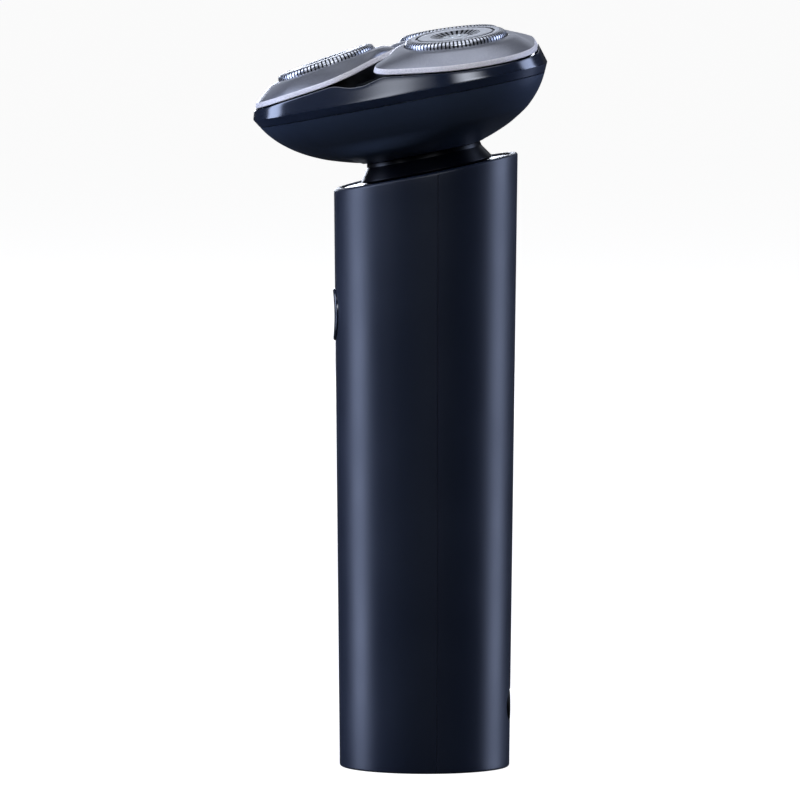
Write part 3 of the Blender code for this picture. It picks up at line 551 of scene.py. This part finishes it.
def shell_shape(side, centre_z, half, reach, hole_levels, hole_columns):
    """Half of the handle with one hole through its wall.

    The wall is a grid of rows and columns. Round the hole the grid is left out, outside
    and inside, and loops of points lead from its edge to the hole's edge and through it.
    """
    rows = wall_rows(hole_levels)
    verts = []
    for row in rows:
        verts += row.points(side, WALL_COLUMNS)
    width = WALL_COLUMNS + 1
    middle = WALL_COLUMNS // 2
    left, right = middle - hole_columns, middle + hole_columns

    def rows_at(z_low, z_high, inset):
        picked = [i for i, row in enumerate(rows)
                  if row.level is not None and row.inset == inset
                  and z_low - 1e-6 <= row.level <= z_high + 1e-6]
        return picked[0], picked[-1]

    outer = rows_at(hole_levels[0], hole_levels[-1], 0.0)
    inner = rows_at(hole_levels[0], hole_levels[-1], WALL)
    faces = []
    for j in range(len(rows) - 1):
        for i in range(WALL_COLUMNS):
            in_hole = left <= i < right and (outer[0] <= j < outer[1] or inner[0] <= j < inner[1])
            if not in_hole:
                a = j * width + i
                faces.append((a, a + 1, a + 1 + width, a + width))

    def edge_of(bottom, top):
        step = 1 if top > bottom else -1
        loop = [bottom * width + i for i in range(left, right)]
        loop += [j * width + right for j in range(bottom, top, step)]
        loop += [top * width + i for i in range(right, left, -1)]
        loop += [j * width + left for j in range(top, bottom, -step)]
        return loop

    outer_edge = edge_of(outer[0], outer[1])
    inner_edge = edge_of(inner[1], inner[0])
    passes = [(0.75, 0.22, 0.0), (0.5, 0.22, 0.0), (0.25, 0.22, 0.0), (0.0, 0.22, 0.0),
              (0.0, 0.12, 0.0), (0.0, 0.04, 0.03), (0.0, 0.0, 0.12), (0.0, 0.0, WALL - 0.05),
              (0.0, 0.05, WALL), (0.5, 0.05, WALL)]
    previous = outer_edge
    for share, wider, inset in passes:
        loop = []
        for index in outer_edge:
            x, _, z = verts[index]
            angle = math.atan2(z - centre_z, x)
            far = reach(angle, (half[0] + wider, half[1] + wider))
            px = blend(far * math.cos(angle), x, share)
            pz = blend(centre_z + far * math.sin(angle), z, share)
            verts.append(on_wall(side, px, pz, inset))
            loop.append(len(verts) - 1)
        count = len(loop)
        for i in range(count):
            n = (i + 1) % count
            faces.append((previous[i], previous[n], loop[n], loop[i]))
        previous = loop
    count = len(inner_edge)
    for i in range(count):
        n = (i + 1) % count
        faces.append((previous[i], previous[n], inner_edge[n], inner_edge[i]))
    faces.append(tuple(range(width)))
    last = (len(rows) - 1) * width
    faces.append(tuple(last + i for i in range(width)))
    seam = [j * width for j in range(len(rows))]
    seam += [j * width + WALL_COLUMNS for j in range(len(rows) - 1, -1, -1)]
    faces.append(tuple(seam))
    return verts, faces


def evenly(low, high, steps):
    """Evenly spaced heights, both ends included."""
    return [low + (high - low) * i / steps for i in range(steps + 1)]


def widened(half, by):
    return half[0] + by, half[1] + by


def make_shells(finishes):
    """Both halves of the handle: the front has the button's hole and the rear the port's.

    Round each hole the wall's grid is left out between the given heights and columns.
    """
    hole = widened(BUTTON_HALF, BUTTON_GAP)
    front = shell_shape(-1.0, BUTTON_Z, hole, oval_reach, evenly(85.0, 103.6, 14), 14)
    piece("front_shell_skin", front, "handle", finishes["navy_satin"],
          ["front_shell"], sharp=50.0)
    rear = shell_shape(1.0, PORT_Z, PORT_HALF, pill_reach, evenly(6.0, 19.8, 12), 16)
    piece("rear_shell_skin", rear, "handle", finishes["navy_satin"],
          ["rear_shell"], sharp=50.0)


def make_top_plate(finishes):
    """Glossy oval plate, a hair under the rim, with the hole that the neck plugs into."""
    count = 160
    loops = []
    for inset, drop in ((PLATE_IN, PLATE_BACK), (PLATE_IN, PLATE_SINK + 0.11),
                        (PLATE_IN + 0.03, PLATE_SINK + 0.03), (PLATE_IN + 0.1, PLATE_SINK)):
        loop = []
        for i in range(count):
            angle = TAU * i / count
            x = (TOP_HALF_DEPTH * WIDTH_RATIO - inset) * math.cos(angle)
            y = (TOP_HALF_DEPTH - inset) * math.sin(angle)
            for _ in range(3):
                depth = half_depth(top_of_handle(y))
                x = (depth * WIDTH_RATIO - inset) * math.cos(angle)
                y = (depth - inset) * math.sin(angle)
            loop.append((x, y, top_of_handle(y) - drop))
        loops.append(loop)
    centre_y = HEAD_ORIGIN.y + NECK_Y * math.cos(TILT) + NECK_SEAT * math.sin(TILT)
    for drop in (PLATE_SINK, PLATE_BACK):
        loop = []
        for i in range(count):
            angle = TAU * i / count
            y = centre_y + NECK_HOLE * math.cos(TILT) * math.sin(angle)
            loop.append((NECK_HOLE * math.cos(angle), y, top_of_handle(y) - drop))
        loops.append(loop)
    piece("top_plate_skin", skin(loops, closed=True), "handle", finishes["plate_gloss"],
          ["top_plate"], sharp=30.0)


def make_button(finishes):
    """Oval button, slightly dished, whose face follows the handle's curve."""
    # A flange behind the wall keeps the button in its hole.
    stages = [(1.1, 2.75), (1.1, 2.2), (0.0, 2.2)]
    stages += [(-BUTTON_ROUND * (1.0 - math.cos(a)),
                -BUTTON_PROUD + BUTTON_ROUND * (1.0 - math.sin(a)))
               for a in (math.pi / 2.0 * i / 6 for i in range(7))]
    loops = [button_loop(wider, inset) for wider, inset in stages]
    for share in (0.85, 0.7, 0.55, 0.4, 0.25, 0.1):
        dip = 0.28 * (1.0 - share ** 2)
        loops.append(button_loop(-BUTTON_ROUND, -BUTTON_PROUD + dip, share))
    piece("power_button_cap", skin(loops), "button", finishes["navy_gloss"],
          ["power_button"], sharp=35.0)


def button_loop(wider, inset, share=1.0, count=96):
    """The button's outline, on a surface that lies under the handle's skin by the inset."""
    half = widened(BUTTON_HALF, wider)
    loop = []
    for i in range(count):
        angle = TAU * i / count
        far = oval_reach(angle, half) * share
        loop.append(on_wall(-1.0, far * math.cos(angle), BUTTON_Z + far * math.sin(angle), inset))
    return loop


def port_loop(half, back, count=96):
    """A pill-shaped outline round the port, in an upright plane behind the handle's axis."""
    points = []
    for i in range(count):
        angle = TAU * i / count
        far = pill_reach(angle, half)
        points.append((far * math.cos(angle), back, PORT_Z + far * math.sin(angle)))
    return points


def make_port(finishes):
    """Flat-faced pill-shaped bezel with the charging socket's slot through it."""
    outer = widened(PORT_HALF, -PORT_GAP)
    lip = widened(SOCKET_HALF, 0.3)
    face = on_wall(1.0, 0.0, PORT_Z, PORT_SINK)[1]
    section = (
        (outer, PORT_BACK), (outer, face - 0.15), (widened(outer, -0.12), face),
        (widened(lip, 0.12), face), (lip, face - 0.1), (widened(SOCKET_HALF, 0.05), face - 0.35),
        (SOCKET_HALF, face - 0.5), (SOCKET_HALF, PORT_BACK))
    loops = [port_loop(half, back) for half, back in section]
    piece("port_bezel_ring", skin(loops, closed=True), "handle", finishes["black_plastic_and_painted_shade"],
          ["port_bezel"], sharp=40.0)


# ---------------------------------------------------------------- head

def make_neck(finishes):
    """Cone between the handle and the head, with the two posts that hold the gimbal."""
    profile = filleted([
        (5.6, -21.2), (7.4, -21.2), (7.4, -17.5), (13.55, -17.5, 0.1), (13.9, -17.1, 0.15),
        (12.15, -14.45, 0.3), (11.9, -13.1, 0.2), (10.2, -13.1, 0.1),
        (10.2, -16.0, 0.3), (5.6, -16.0, 0.1)],
        closed=True)
    piece("neck_cone", turned(profile, 144, (0.0, NECK_Y + 0.15), closed=True), "neck",
          finishes["neck_black"], ["neck_mount"], HEAD)
    for side, label in ((-1.0, "left"), (1.0, "right")):
        outline = [(9.55 + 1.05 * math.cos(a), 1.6 * math.sin(a))
                   for a in (TAU * i / 48 for i in range(48))]
        loops = [[(side * x * (1.0 - 0.02 * k), y * (1.0 - 0.12 * k), z) for x, y in outline]
                 for k, z in ((0, -16.2), (0, PIVOT_Z + 1.1), (1, PIVOT_Z + 1.4))]
        piece(f"neck_post_{label}", skin(loops), "neck", finishes["neck_black"],
              place=HEAD)


def bowl_roundness(z):
    """How far the bowl's outline has turned into a circle, at a height."""
    return smooth_step((-8.0 - z) / 5.1)


def make_bowl(finishes):
    """Bowl whose outline turns from the rim's rounded triangle into the neck's circle."""
    start = -math.pi / 2.0
    outside = through(BOWL_PROFILE, 44)
    top_z, top_scale = outside[0]
    loops = [rim_loop(top_scale - 0.004, top_z + 0.04)]
    loops += [rim_loop(scale, z, bowl_roundness(z)) for z, scale in outside]
    for wider, higher in ((0.25, 0.03), (0.06, 0.05), (0.0, 0.15), (0.0, 0.8)):
        loops.append(ring(BOWL_MOUTH + wider, BOWL_BOTTOM + higher, RIM_POINTS,
                          (0.0, NECK_Y), start))
    inside = [(z, scale - BOWL_WALL) for z, scale in outside if z > BOWL_BOTTOM + 0.8]
    loops += [rim_loop(scale, z, bowl_roundness(z)) for z, scale in reversed(inside[::2])]
    loops.append(rim_loop(top_scale - BOWL_WALL + 0.004, top_z + 0.04))
    # The bowl's navy is made lighter as painted light.
    piece("head_bowl_skin", skin(loops, closed=True), "bowl", finishes["navy_bowl_painted_light"],
          ["head_bowl"], place=HEAD, sharp=35.0)


def petal_lip_height(degrees):
    """Height of a petal's lower edge over the rim, in a direction from the head's axis."""
    along = 0.985 * rim_radius(degrees) * math.cos(math.radians(from_corner(degrees)))
    return PETAL_UP + (PETAL_OUT - along) * math.tan(CANT)


def cover_top(degrees):
    """Height of the cover ring's upper edge: it follows the lips and dips between them."""
    dip = 1.75 * smooth_step((from_corner(degrees) - 45.0) / 15.0)
    return petal_lip_height(degrees) - LIP_GAP - dip


def make_cover(finishes):
    """Gloss bevel over a satin band; the bevel's upper edge dips between the petals."""
    def bevel(share, extra=0.0, lower=0.0):
        def height(degrees):
            return cover_top(degrees) * share - lower
        def inward(degrees):
            return cover_top(degrees) * share * BEVEL_LEAN + extra
        return rim_loop(1.0, height, inward=inward)

    band = [rim_loop(scale, z) for scale, z in (
        (0.966, BAND_LOW + 0.02), (0.9695, BAND_LOW), (0.972, BAND_LOW + 0.06),
        (0.9855, -0.86), (0.9975, -0.16), (0.9993, -0.05))]
    upper = [rim_loop(0.9993, 0.06, inward=0.012)]
    upper += [bevel(share) for share in (0.1, 0.25, 0.5, 0.75, 0.93)]
    upper += [bevel(1.0, 0.01, 0.05), bevel(1.0, 0.04, 0.01), bevel(1.0, 0.07),
              bevel(1.0, 0.10), bevel(1.0, 0.13, 0.03), bevel(1.0, 0.14, 0.2),
              bevel(1.0, 0.16, 1.6)]
    inner = [rim_loop(0.905, 0.1), rim_loop(0.90, BAND_LOW)]
    shape = skin(band + upper + inner, closed=True)
    made = piece("cover_ring_skin", shape, "cover", finishes["navy_gloss"],
                 ["cover_ring"], place=HEAD, sharp=24.0)
    made.data.materials.append(finishes["navy_band"])
    for face in made.data.polygons[: RIM_POINTS * (len(band) - 1)]:
        face.material_index = 1


# ---------------------------------------------------------------- petals and cutters

def petal_reach(degrees):
    """Distance from the petal's centre to its edge, in a direction of its own frame.

    Three bounds meet softly: the head's rim and the two lines that part the petals.
    """
    angle = math.radians(degrees)
    toward = Vector((math.cos(angle), math.sin(angle)))
    half = math.radians(60.0 - PETAL_WEDGE)
    bounds = [rim_distance(toward)]
    for side in (-1.0, 1.0):
        facing = -toward.x * math.sin(half) + side * toward.y * math.cos(half)
        if facing > 1e-6:
            bounds.append((PETAL_OUT * math.sin(half) - PETAL_SPLIT / 2.0) / facing)
    return sum(b ** -PETAL_ROUNDING for b in bounds) ** (-1.0 / PETAL_ROUNDING)


def rim_distance(toward):
    """From the petal's centre to the lip's outline, by halving the interval."""
    low, high = 0.0, 60.0
    for _ in range(30):
        middle = (low + high) / 2.0
        x = PETAL_OUT + toward.x * middle
        y = toward.y * middle
        # The rim's corner lies at 30 degrees in rim_radius. The lip clears the leaning bevel.
        degrees = math.degrees(math.atan2(y, x)) + 30.0
        bevel = (petal_lip_height(degrees) - LIP_GAP) * BEVEL_LEAN
        rim = rim_radius(degrees) - bevel - LIP_INSIDE
        if math.hypot(x, y) < rim:
            low = middle
        else:
            high = middle
    return low


def curl(x):
    """Rise of the lip over the petal's plane, towards the petal's inner end."""
    return PETAL_CURL * smooth_step((21.0 - PETAL_OUT - x) / 18.0)


def petal_shape(count=216):
    """A petal: thin lip, chamfer with a painted highlight, sloping side, round shoulder and the
    cap's bore.

    Returns the shape and how many faces, from the first on, belong to the lip and chamfer.
    """
    reaches = [petal_reach(360.0 * i / count) for i in range(count)]
    loops = []

    def edge(inward, height, share=0.0, far_radius=0.0, swell=0.0):
        loop = []
        for i, r in enumerate(reaches):
            angle = TAU * i / count
            far = blend(r - inward, far_radius, share) + swell
            x = far * math.cos(angle)
            loop.append((x, far * math.sin(angle), height + curl(x) * (1.0 - share)))
        loops.append(loop)

    for inward, height in ((0.95, 0.02), (0.22, 0.0), (0.08, 0.05), (0.0, 0.18),
                           (0.10, 0.45), (0.30, 0.85), (0.40, 1.02), (0.52, 1.13)):
        edge(inward, height)
    # The faces so far, lip and chamfer, get the light colour of the painted highlight.
    painted_highlight_faces = (len(loops) - 1) * count
    steps = 12
    for step in range(1, steps + 1):
        share = step / steps
        # The side swells a little between the lip and the shoulder.
        swell = 0.16 * math.sin(math.pi * share)
        edge(0.52, blend(1.13, 3.42, share ** 0.96), share, PETAL_SHOULDER, swell)
    for radius, height in ((12.35, 3.56), (11.9, 3.67), (11.4, 3.76), (11.02, 3.81),
                           (10.90, 3.80), (PETAL_BORE + 0.02, 3.74), (PETAL_BORE, 3.64),
                           (PETAL_BORE, 2.4)):
        loops.append(ring(radius, height, count))
    loops.append(ring(12.0, 2.1, count))
    edge(1.3, 0.3)
    return skin(loops, closed=True), painted_highlight_faces


def cap_profile():
    """The guard cap's section, from its centre hole out and down.

    Returns the points and the rows of the inner slots, of the round track between the two
    rows of slots, and of the outer slots.
    """
    top, radius = CAP_TOP, CAP_RADIUS
    profile = [(2.95, top - 1.1), (3.0, top - 0.66), (3.1, top - 0.6)]
    inner = range(len(profile) - 1, len(profile) + 3)
    profile += [(3.7, top - 0.42), (4.3, top - 0.24), (4.9, top - 0.06), (5.2, top), (6.6, top),
                (7.62, top), (7.72, top - 0.05), (7.76, top - 0.34), (8.24, top - 0.34),
                (8.28, top - 0.05), (8.38, top), (8.8, top), (9.2, top - 0.02)]
    first_outer = len(profile) - 1
    for step in range(1, 9):
        angle = math.pi / 2.0 * step / 8
        profile.append((9.3 + (radius - 9.3) * math.sin(angle), top - (1.0 - math.cos(angle))))
    profile.append((radius, top - 1.5))
    outer = range(first_outer, len(profile) - 1)
    track = [k for k, (r, _) in enumerate(profile) if 7.7 < r < 8.26]
    profile += [(radius, top - 1.6), (radius + 0.02, top - 2.2), (radius + 0.02, top - 3.0)]
    return profile, inner, track, outer


def slotted_cap():
    """Guard cap: a thin steel skin with radial slots round its edge and round its centre.

    The skin is a grid of three sheets: outside, slot floor and inside. The slot floor is a
    black sheet of painted shade where the real slots are open; the slots' walls and the
    track are black as painted shade too. Returns the shape and the faces that carry it.
    """
    columns = OUTER_SLOTS * SLOT_COLUMNS
    inner_pitch = columns // INNER_SLOTS
    profile, inner_rows, track, outer_rows = cap_profile()
    rows = len(profile)

    def opened(row, column):
        if row in outer_rows:
            return column % SLOT_COLUMNS < 2
        if row in inner_rows:
            return column % inner_pitch < 0.45 * inner_pitch
        return False

    verts = []
    for depth in (0.0, SLOT_DEPTH, CAP_THICK):
        for k in range(rows):
            r, z = offset_point(profile, k, depth) if depth else profile[k]
            verts += ring(r, z, columns)

    def at(sheet, k, j):
        return sheet * rows * columns + k * columns + j % columns

    def wall(k, j, next_k, next_j):
        """From the outside down to the slot floor, along one side of a cell."""
        return at(0, k, j), at(0, next_k, next_j), at(1, next_k, next_j), at(1, k, j)

    # Faces that take the black finish as painted shade: slot floors, slot walls and the track.
    faces, painted_shade_faces = [], []
    for k in range(rows - 1):
        for j in range(columns):
            slot = opened(k, j)
            sheet = 1 if slot else 0
            if slot or k in track:
                painted_shade_faces.append(len(faces))
            faces.append((at(sheet, k, j), at(sheet, k, j + 1),
                          at(sheet, k + 1, j + 1), at(sheet, k + 1, j)))
            faces.append((at(2, k, j), at(2, k + 1, j), at(2, k + 1, j + 1), at(2, k, j + 1)))
            if not slot:
                continue
            walls = []
            if not opened(k, j - 1):
                walls.append(wall(k, j, k + 1, j))
            if not opened(k, j + 1):
                walls.append(wall(k + 1, j + 1, k, j + 1))
            if not opened(k - 1, j):
                walls.append(wall(k, j + 1, k, j))
            if not opened(k + 1, j):
                walls.append(wall(k + 1, j, k + 1, j + 1))
            painted_shade_faces += range(len(faces), len(faces) + len(walls))
            faces += walls
    last = rows - 1
    for j in range(columns):
        faces.append((at(0, 0, j), at(2, 0, j), at(2, 0, j + 1), at(0, 0, j + 1)))
        faces.append((at(0, last, j), at(0, last, j + 1), at(2, last, j + 1), at(2, last, j)))
    used = sorted({index for face in faces for index in face})
    renumbered = {old: new for new, old in enumerate(used)}
    shape = [verts[i] for i in used], [tuple(renumbered[i] for i in face) for face in faces]
    return shape, painted_shade_faces


def offset_point(profile, k, thick):
    """The point under a profile's point, square to the profile."""
    before = Vector(profile[max(k - 1, 0)])
    after = Vector(profile[min(k + 1, len(profile) - 1)])
    along = (after - before).normalized()
    return profile[k][0] - abs(along.y) * thick, profile[k][1] - abs(along.x) * thick


def petal_skirt():
    """Black tube under a petal, round the cutter."""
    return turned([(11.2, 2.05), (11.9, 2.05), (11.9, -2.1), (11.2, -2.1)], 96, closed=True)


def cap_centre_shape():
    """Centre disc: a low boss with a turned edge and a plain sunk ring as its mark."""
    top = CAP_TOP - 0.4
    profile = filleted([
        (0.02, top), (1.15, top), (1.2, top - 0.06), (1.5, top - 0.06), (1.55, top),
        (2.6, top, 0.08), (2.86, top - 0.15, 0.08), (2.86, 3.9), (0.02, 3.9)])
    return turned(profile[::-1], 96)


def blade_shape(blades=15):
    """Rotary cutter: a hub and a dished web with upright vanes along its edge."""
    count = blades * 8
    loops = [ring(r, z, count) for r, z in (
        (2.9, 0.2), (3.9, 0.2), (3.9, 2.6), (7.2, 2.6), (9.3, 2.75))]
    top = []
    for i in range(count):
        tooth = (i % 8) / 8.0
        height = 3.85 if tooth < 0.45 else 3.0
        top.append((9.3 * math.cos(TAU * i / count), 9.3 * math.sin(TAU * i / count), height))
    inner_top = [(x * 0.80, y * 0.80, z) for x, y, z in top]
    loops += [top, inner_top]
    loops += [ring(7.2, 2.9, count), ring(5.6, 2.9, count), ring(5.4, 3.85, count),
              ring(3.6, 3.85, count), ring(3.5, 3.2, count), ring(0.4, 3.2, count),
              ring(0.4, 2.4, count), ring(2.9, 2.4, count)]
    return skin(loops, closed=True)


def make_petals(finishes):
    """Three petals, each with its cap, centre disc, skirt and blade."""
    petal, painted_highlight_faces = petal_shape()
    cap, slots = slotted_cap()
    skirt = petal_skirt()
    centre = cap_centre_shape()
    blade = blade_shape()
    for number in range(3):
        place = petal_frame(number)
        label = number + 1
        body = f"petal_unit_{label}"
        made = piece(f"petal_{label}_skin", petal, body, finishes["petal_paint"],
                     [f"petal_{label}"], place, 30.0)
        # The lip and chamfer take the light colour of the painted highlight.
        made.data.materials.append(finishes["petal_lip_painted_highlight"])
        for face in made.data.polygons[:painted_highlight_faces]:
            face.material_index = 1
        made = piece(f"guard_cap_{label}_slotted", cap, body, finishes["cap_steel"],
                     [f"guard_cap_{label}"], place, 35.0)
        # The slot floors, slot walls and track are painted black as shade.
        made.data.materials.append(finishes["black_plastic_and_painted_shade"])
        for index in slots:
            made.data.polygons[index].material_index = 1
        piece(f"petal_{label}_skirt", skirt, body, finishes["black_plastic_and_painted_shade"],
              place=place)
        piece(f"cap_centre_{label}_disc", centre, body, finishes["disc_steel"],
              [f"cap_centre_{label}"], place, 30.0)
        piece(f"blade_{label}_vanes", blade, f"cutter_{label}", finishes["blade_steel"],
              [f"blade_{label}"], place, 30.0)


# ---------------------------------------------------------------- CAD nodes that stay

def dress_cad_nodes(finishes):
    """Give every CAD node that still shows the finish of its material slot."""
    renamed = {"dark_plastic": "black_plastic_and_painted_shade", "cutter_steel": "blade_steel"}
    slots = {part["node"]: part["material_slot"] for part in frame["record"]["subparts"]}
    for node, shown in frame["nodes"].items():
        for holder in shown.material_slots:
            holder.material = finishes[renamed.get(slots[node], slots[node])]


# ---------------------------------------------------------------- stage

def square(name, half):
    """A flat square mesh about the origin."""
    mesh = bpy.data.meshes.new(name)
    mesh.from_pydata([(-half, -half, 0.0), (half, -half, 0.0), (half, half, 0.0),
                      (-half, half, 0.0)], [], [(0, 1, 2, 3)])
    return mesh


def maths(tree, operation, first, second=None):
    """A Math node fed by an output, and by a second output or a plain value."""
    made = tree.nodes.new("ShaderNodeMath")
    made.operation = operation
    tree.links.new(first, made.inputs[0])
    if isinstance(second, float):
        made.inputs[1].default_value = second
    elif second:
        tree.links.new(second, made.inputs[1])
    return made.outputs[0]


def soft_card(name, azimuth, elevation, distance, size, radiance, colour, edge=0.5):
    """A softbox: a plane that faces the object and fades towards its edges.

    Azimuth counts from +X towards +Y. The edge is the share of the plane that fades. The
    plane lights the object and shows in its gloss, but not to the camera.
    """
    around, up = math.radians(azimuth), math.radians(elevation)
    target = Vector((0.0, 0.0, 80.0)) * MM
    toward = Vector((math.cos(around) * math.cos(up), math.sin(around) * math.cos(up),
                     math.sin(up)))
    mesh = square(name, 1.0)
    glow = bpy.data.materials.new(name + "_glow")
    glow.use_nodes = True
    tree = glow.node_tree
    tree.nodes.remove(tree.nodes["Principled BSDF"])
    emission = tree.nodes.new("ShaderNodeEmission")
    emission.inputs["Color"].default_value = (*colour, 1.0)
    coords = tree.nodes.new("ShaderNodeTexCoord")
    apart = tree.nodes.new("ShaderNodeSeparateXYZ")
    tree.links.new(coords.outputs["Object"], apart.inputs[0])
    fades = []
    for axis in ("X", "Y"):
        fade = tree.nodes.new("ShaderNodeMapRange")
        fade.interpolation_type = "SMOOTHSTEP"
        fade.inputs["From Min"].default_value = 1.0
        fade.inputs["From Max"].default_value = 1.0 - edge
        away = maths(tree, "ABSOLUTE", apart.outputs[axis])
        tree.links.new(away, fade.inputs["Value"])
        fades.append(fade.outputs["Result"])
    power = maths(tree, "MULTIPLY", maths(tree, "MULTIPLY", *fades), radiance)
    tree.links.new(power, emission.inputs["Strength"])
    tree.links.new(emission.outputs[0], tree.nodes["Material Output"].inputs["Surface"])
    mesh.materials.append(glow)
    made = bpy.data.objects.new(name, mesh)
    made.scale = (size[0] * MM / 2.0, size[1] * MM / 2.0, 1.0)
    made.location = target + toward * distance * MM
    made.rotation_euler = toward.to_track_quat("Z", "Y").to_euler()
    made.visible_camera = False
    made.visible_shadow = False
    bpy.context.collection.objects.link(made)


def make_floor():
    """A pale floor that reaches the horizon and doesn't show in the object's gloss."""
    mesh = square("floor", 60.0)
    pale = bpy.data.materials.new("pale_floor")
    pale.use_nodes = True
    shader = pale.node_tree.nodes["Principled BSDF"]
    shader.inputs["Base Color"].default_value = (0.30, 0.30, 0.30, 1.0)
    shader.inputs["Roughness"].default_value = 0.9
    shader.inputs["Specular IOR Level"].default_value = 0.0
    shader.inputs["Emission Color"].default_value = (1.0, 1.0, 1.0, 1.0)
    shader.inputs["Emission Strength"].default_value = 0.95
    mesh.materials.append(pale)
    floor = bpy.data.objects.new("floor", mesh)
    bpy.context.collection.objects.link(floor)
    floor.visible_diffuse = False
    floor.visible_glossy = False


def make_world():
    """White to the camera, and almost dark to the object: its light comes from the cards."""
    world = bpy.data.worlds.new("studio")
    bpy.context.scene.world = world
    world.use_nodes = True
    tree = world.node_tree
    background = tree.nodes["Background"]
    path = tree.nodes.new("ShaderNodeLightPath")
    shown = tree.nodes.new("ShaderNodeMapRange")
    shown.inputs["To Min"].default_value = 0.03
    shown.inputs["To Max"].default_value = 1.0
    tree.links.new(path.outputs["Is Camera Ray"], shown.inputs["Value"])
    tree.links.new(shown.outputs["Result"], background.inputs["Strength"])
    background.inputs["Color"].default_value = (0.96, 0.98, 1.0, 1.0)


def make_lights():
    """Cards named by where they stand, seen from the camera."""
    cool = (0.76, 0.90, 1.32)
    white = (0.92, 0.98, 1.12)
    # Name, azimuth, elevation, distance, size, radiance, colour and share of the edge.
    for card in (
            ("left_softbox", -99.5, 10.0, 1000.0, (540.0, 1450.0), 5.8, cool),
            ("right_softbox", 106.0, 10.0, 1000.0, (600.0, 1450.0), 3.7, cool),
            ("left_high_card", -55.0, 16.0, 1000.0, (260.0, 420.0), 5.0, white, 0.9),
            ("front_high_card", 2.0, 29.0, 1000.0, (960.0, 360.0), 7.0, white, 0.9),
            ("fill_card", -35.0, 6.0, 1100.0, (900.0, 500.0), 0.12, cool, 1.0),
            ("overhead_card", 0.0, 88.0, 1100.0, (1500.0, 1500.0), 1.45, white),
            ("left_top_card", -85.0, 48.0, 1100.0, (800.0, 700.0), 4.2, white, 0.8),
            ("back_card", 186.5, 7.0, 1500.0, (560.0, 230.0), 11.0, white, 0.22),
            ("back_high_card", 180.0, 24.0, 1500.0, (1800.0, 600.0), 1.0, white, 0.6)):
        soft_card(*card)


def make_camera():
    """A camera at the photograph's angle, whose frame is so wide at the object."""
    azimuth = math.radians(87.5)
    distance, height, target = 1850.0, 186.2, (0.0, -5.25, 76.41)
    frame_width = 166.62
    roll = math.radians(0.096)
    where = Vector((distance * math.sin(azimuth), -distance * math.cos(azimuth), height))
    camera = bpy.data.cameras.new("camera")
    camera.sensor_width = 36.0
    camera.lens = camera.sensor_width * (where - Vector(target)).length / frame_width
    camera.clip_end = 200.0
    made = bpy.data.objects.new("camera", camera)
    made.location = where * MM
    made.rotation_euler = (Vector(target) - where).to_track_quat("-Z", "Y").to_euler()
    made.rotation_euler.rotate_axis("Z", roll)
    bpy.context.collection.objects.link(made)
    bpy.context.scene.camera = made


def main():
    finishes = make_finishes()
    dress_cad_nodes(finishes)
    make_shells(finishes)
    make_top_plate(finishes)
    make_button(finishes)
    make_port(finishes)
    make_neck(finishes)
    make_bowl(finishes)
    make_cover(finishes)
    make_petals(finishes)
    make_floor()
    make_world()
    make_lights()
    make_camera()
    bpy.context.scene.view_settings.view_transform = "Standard"


main()
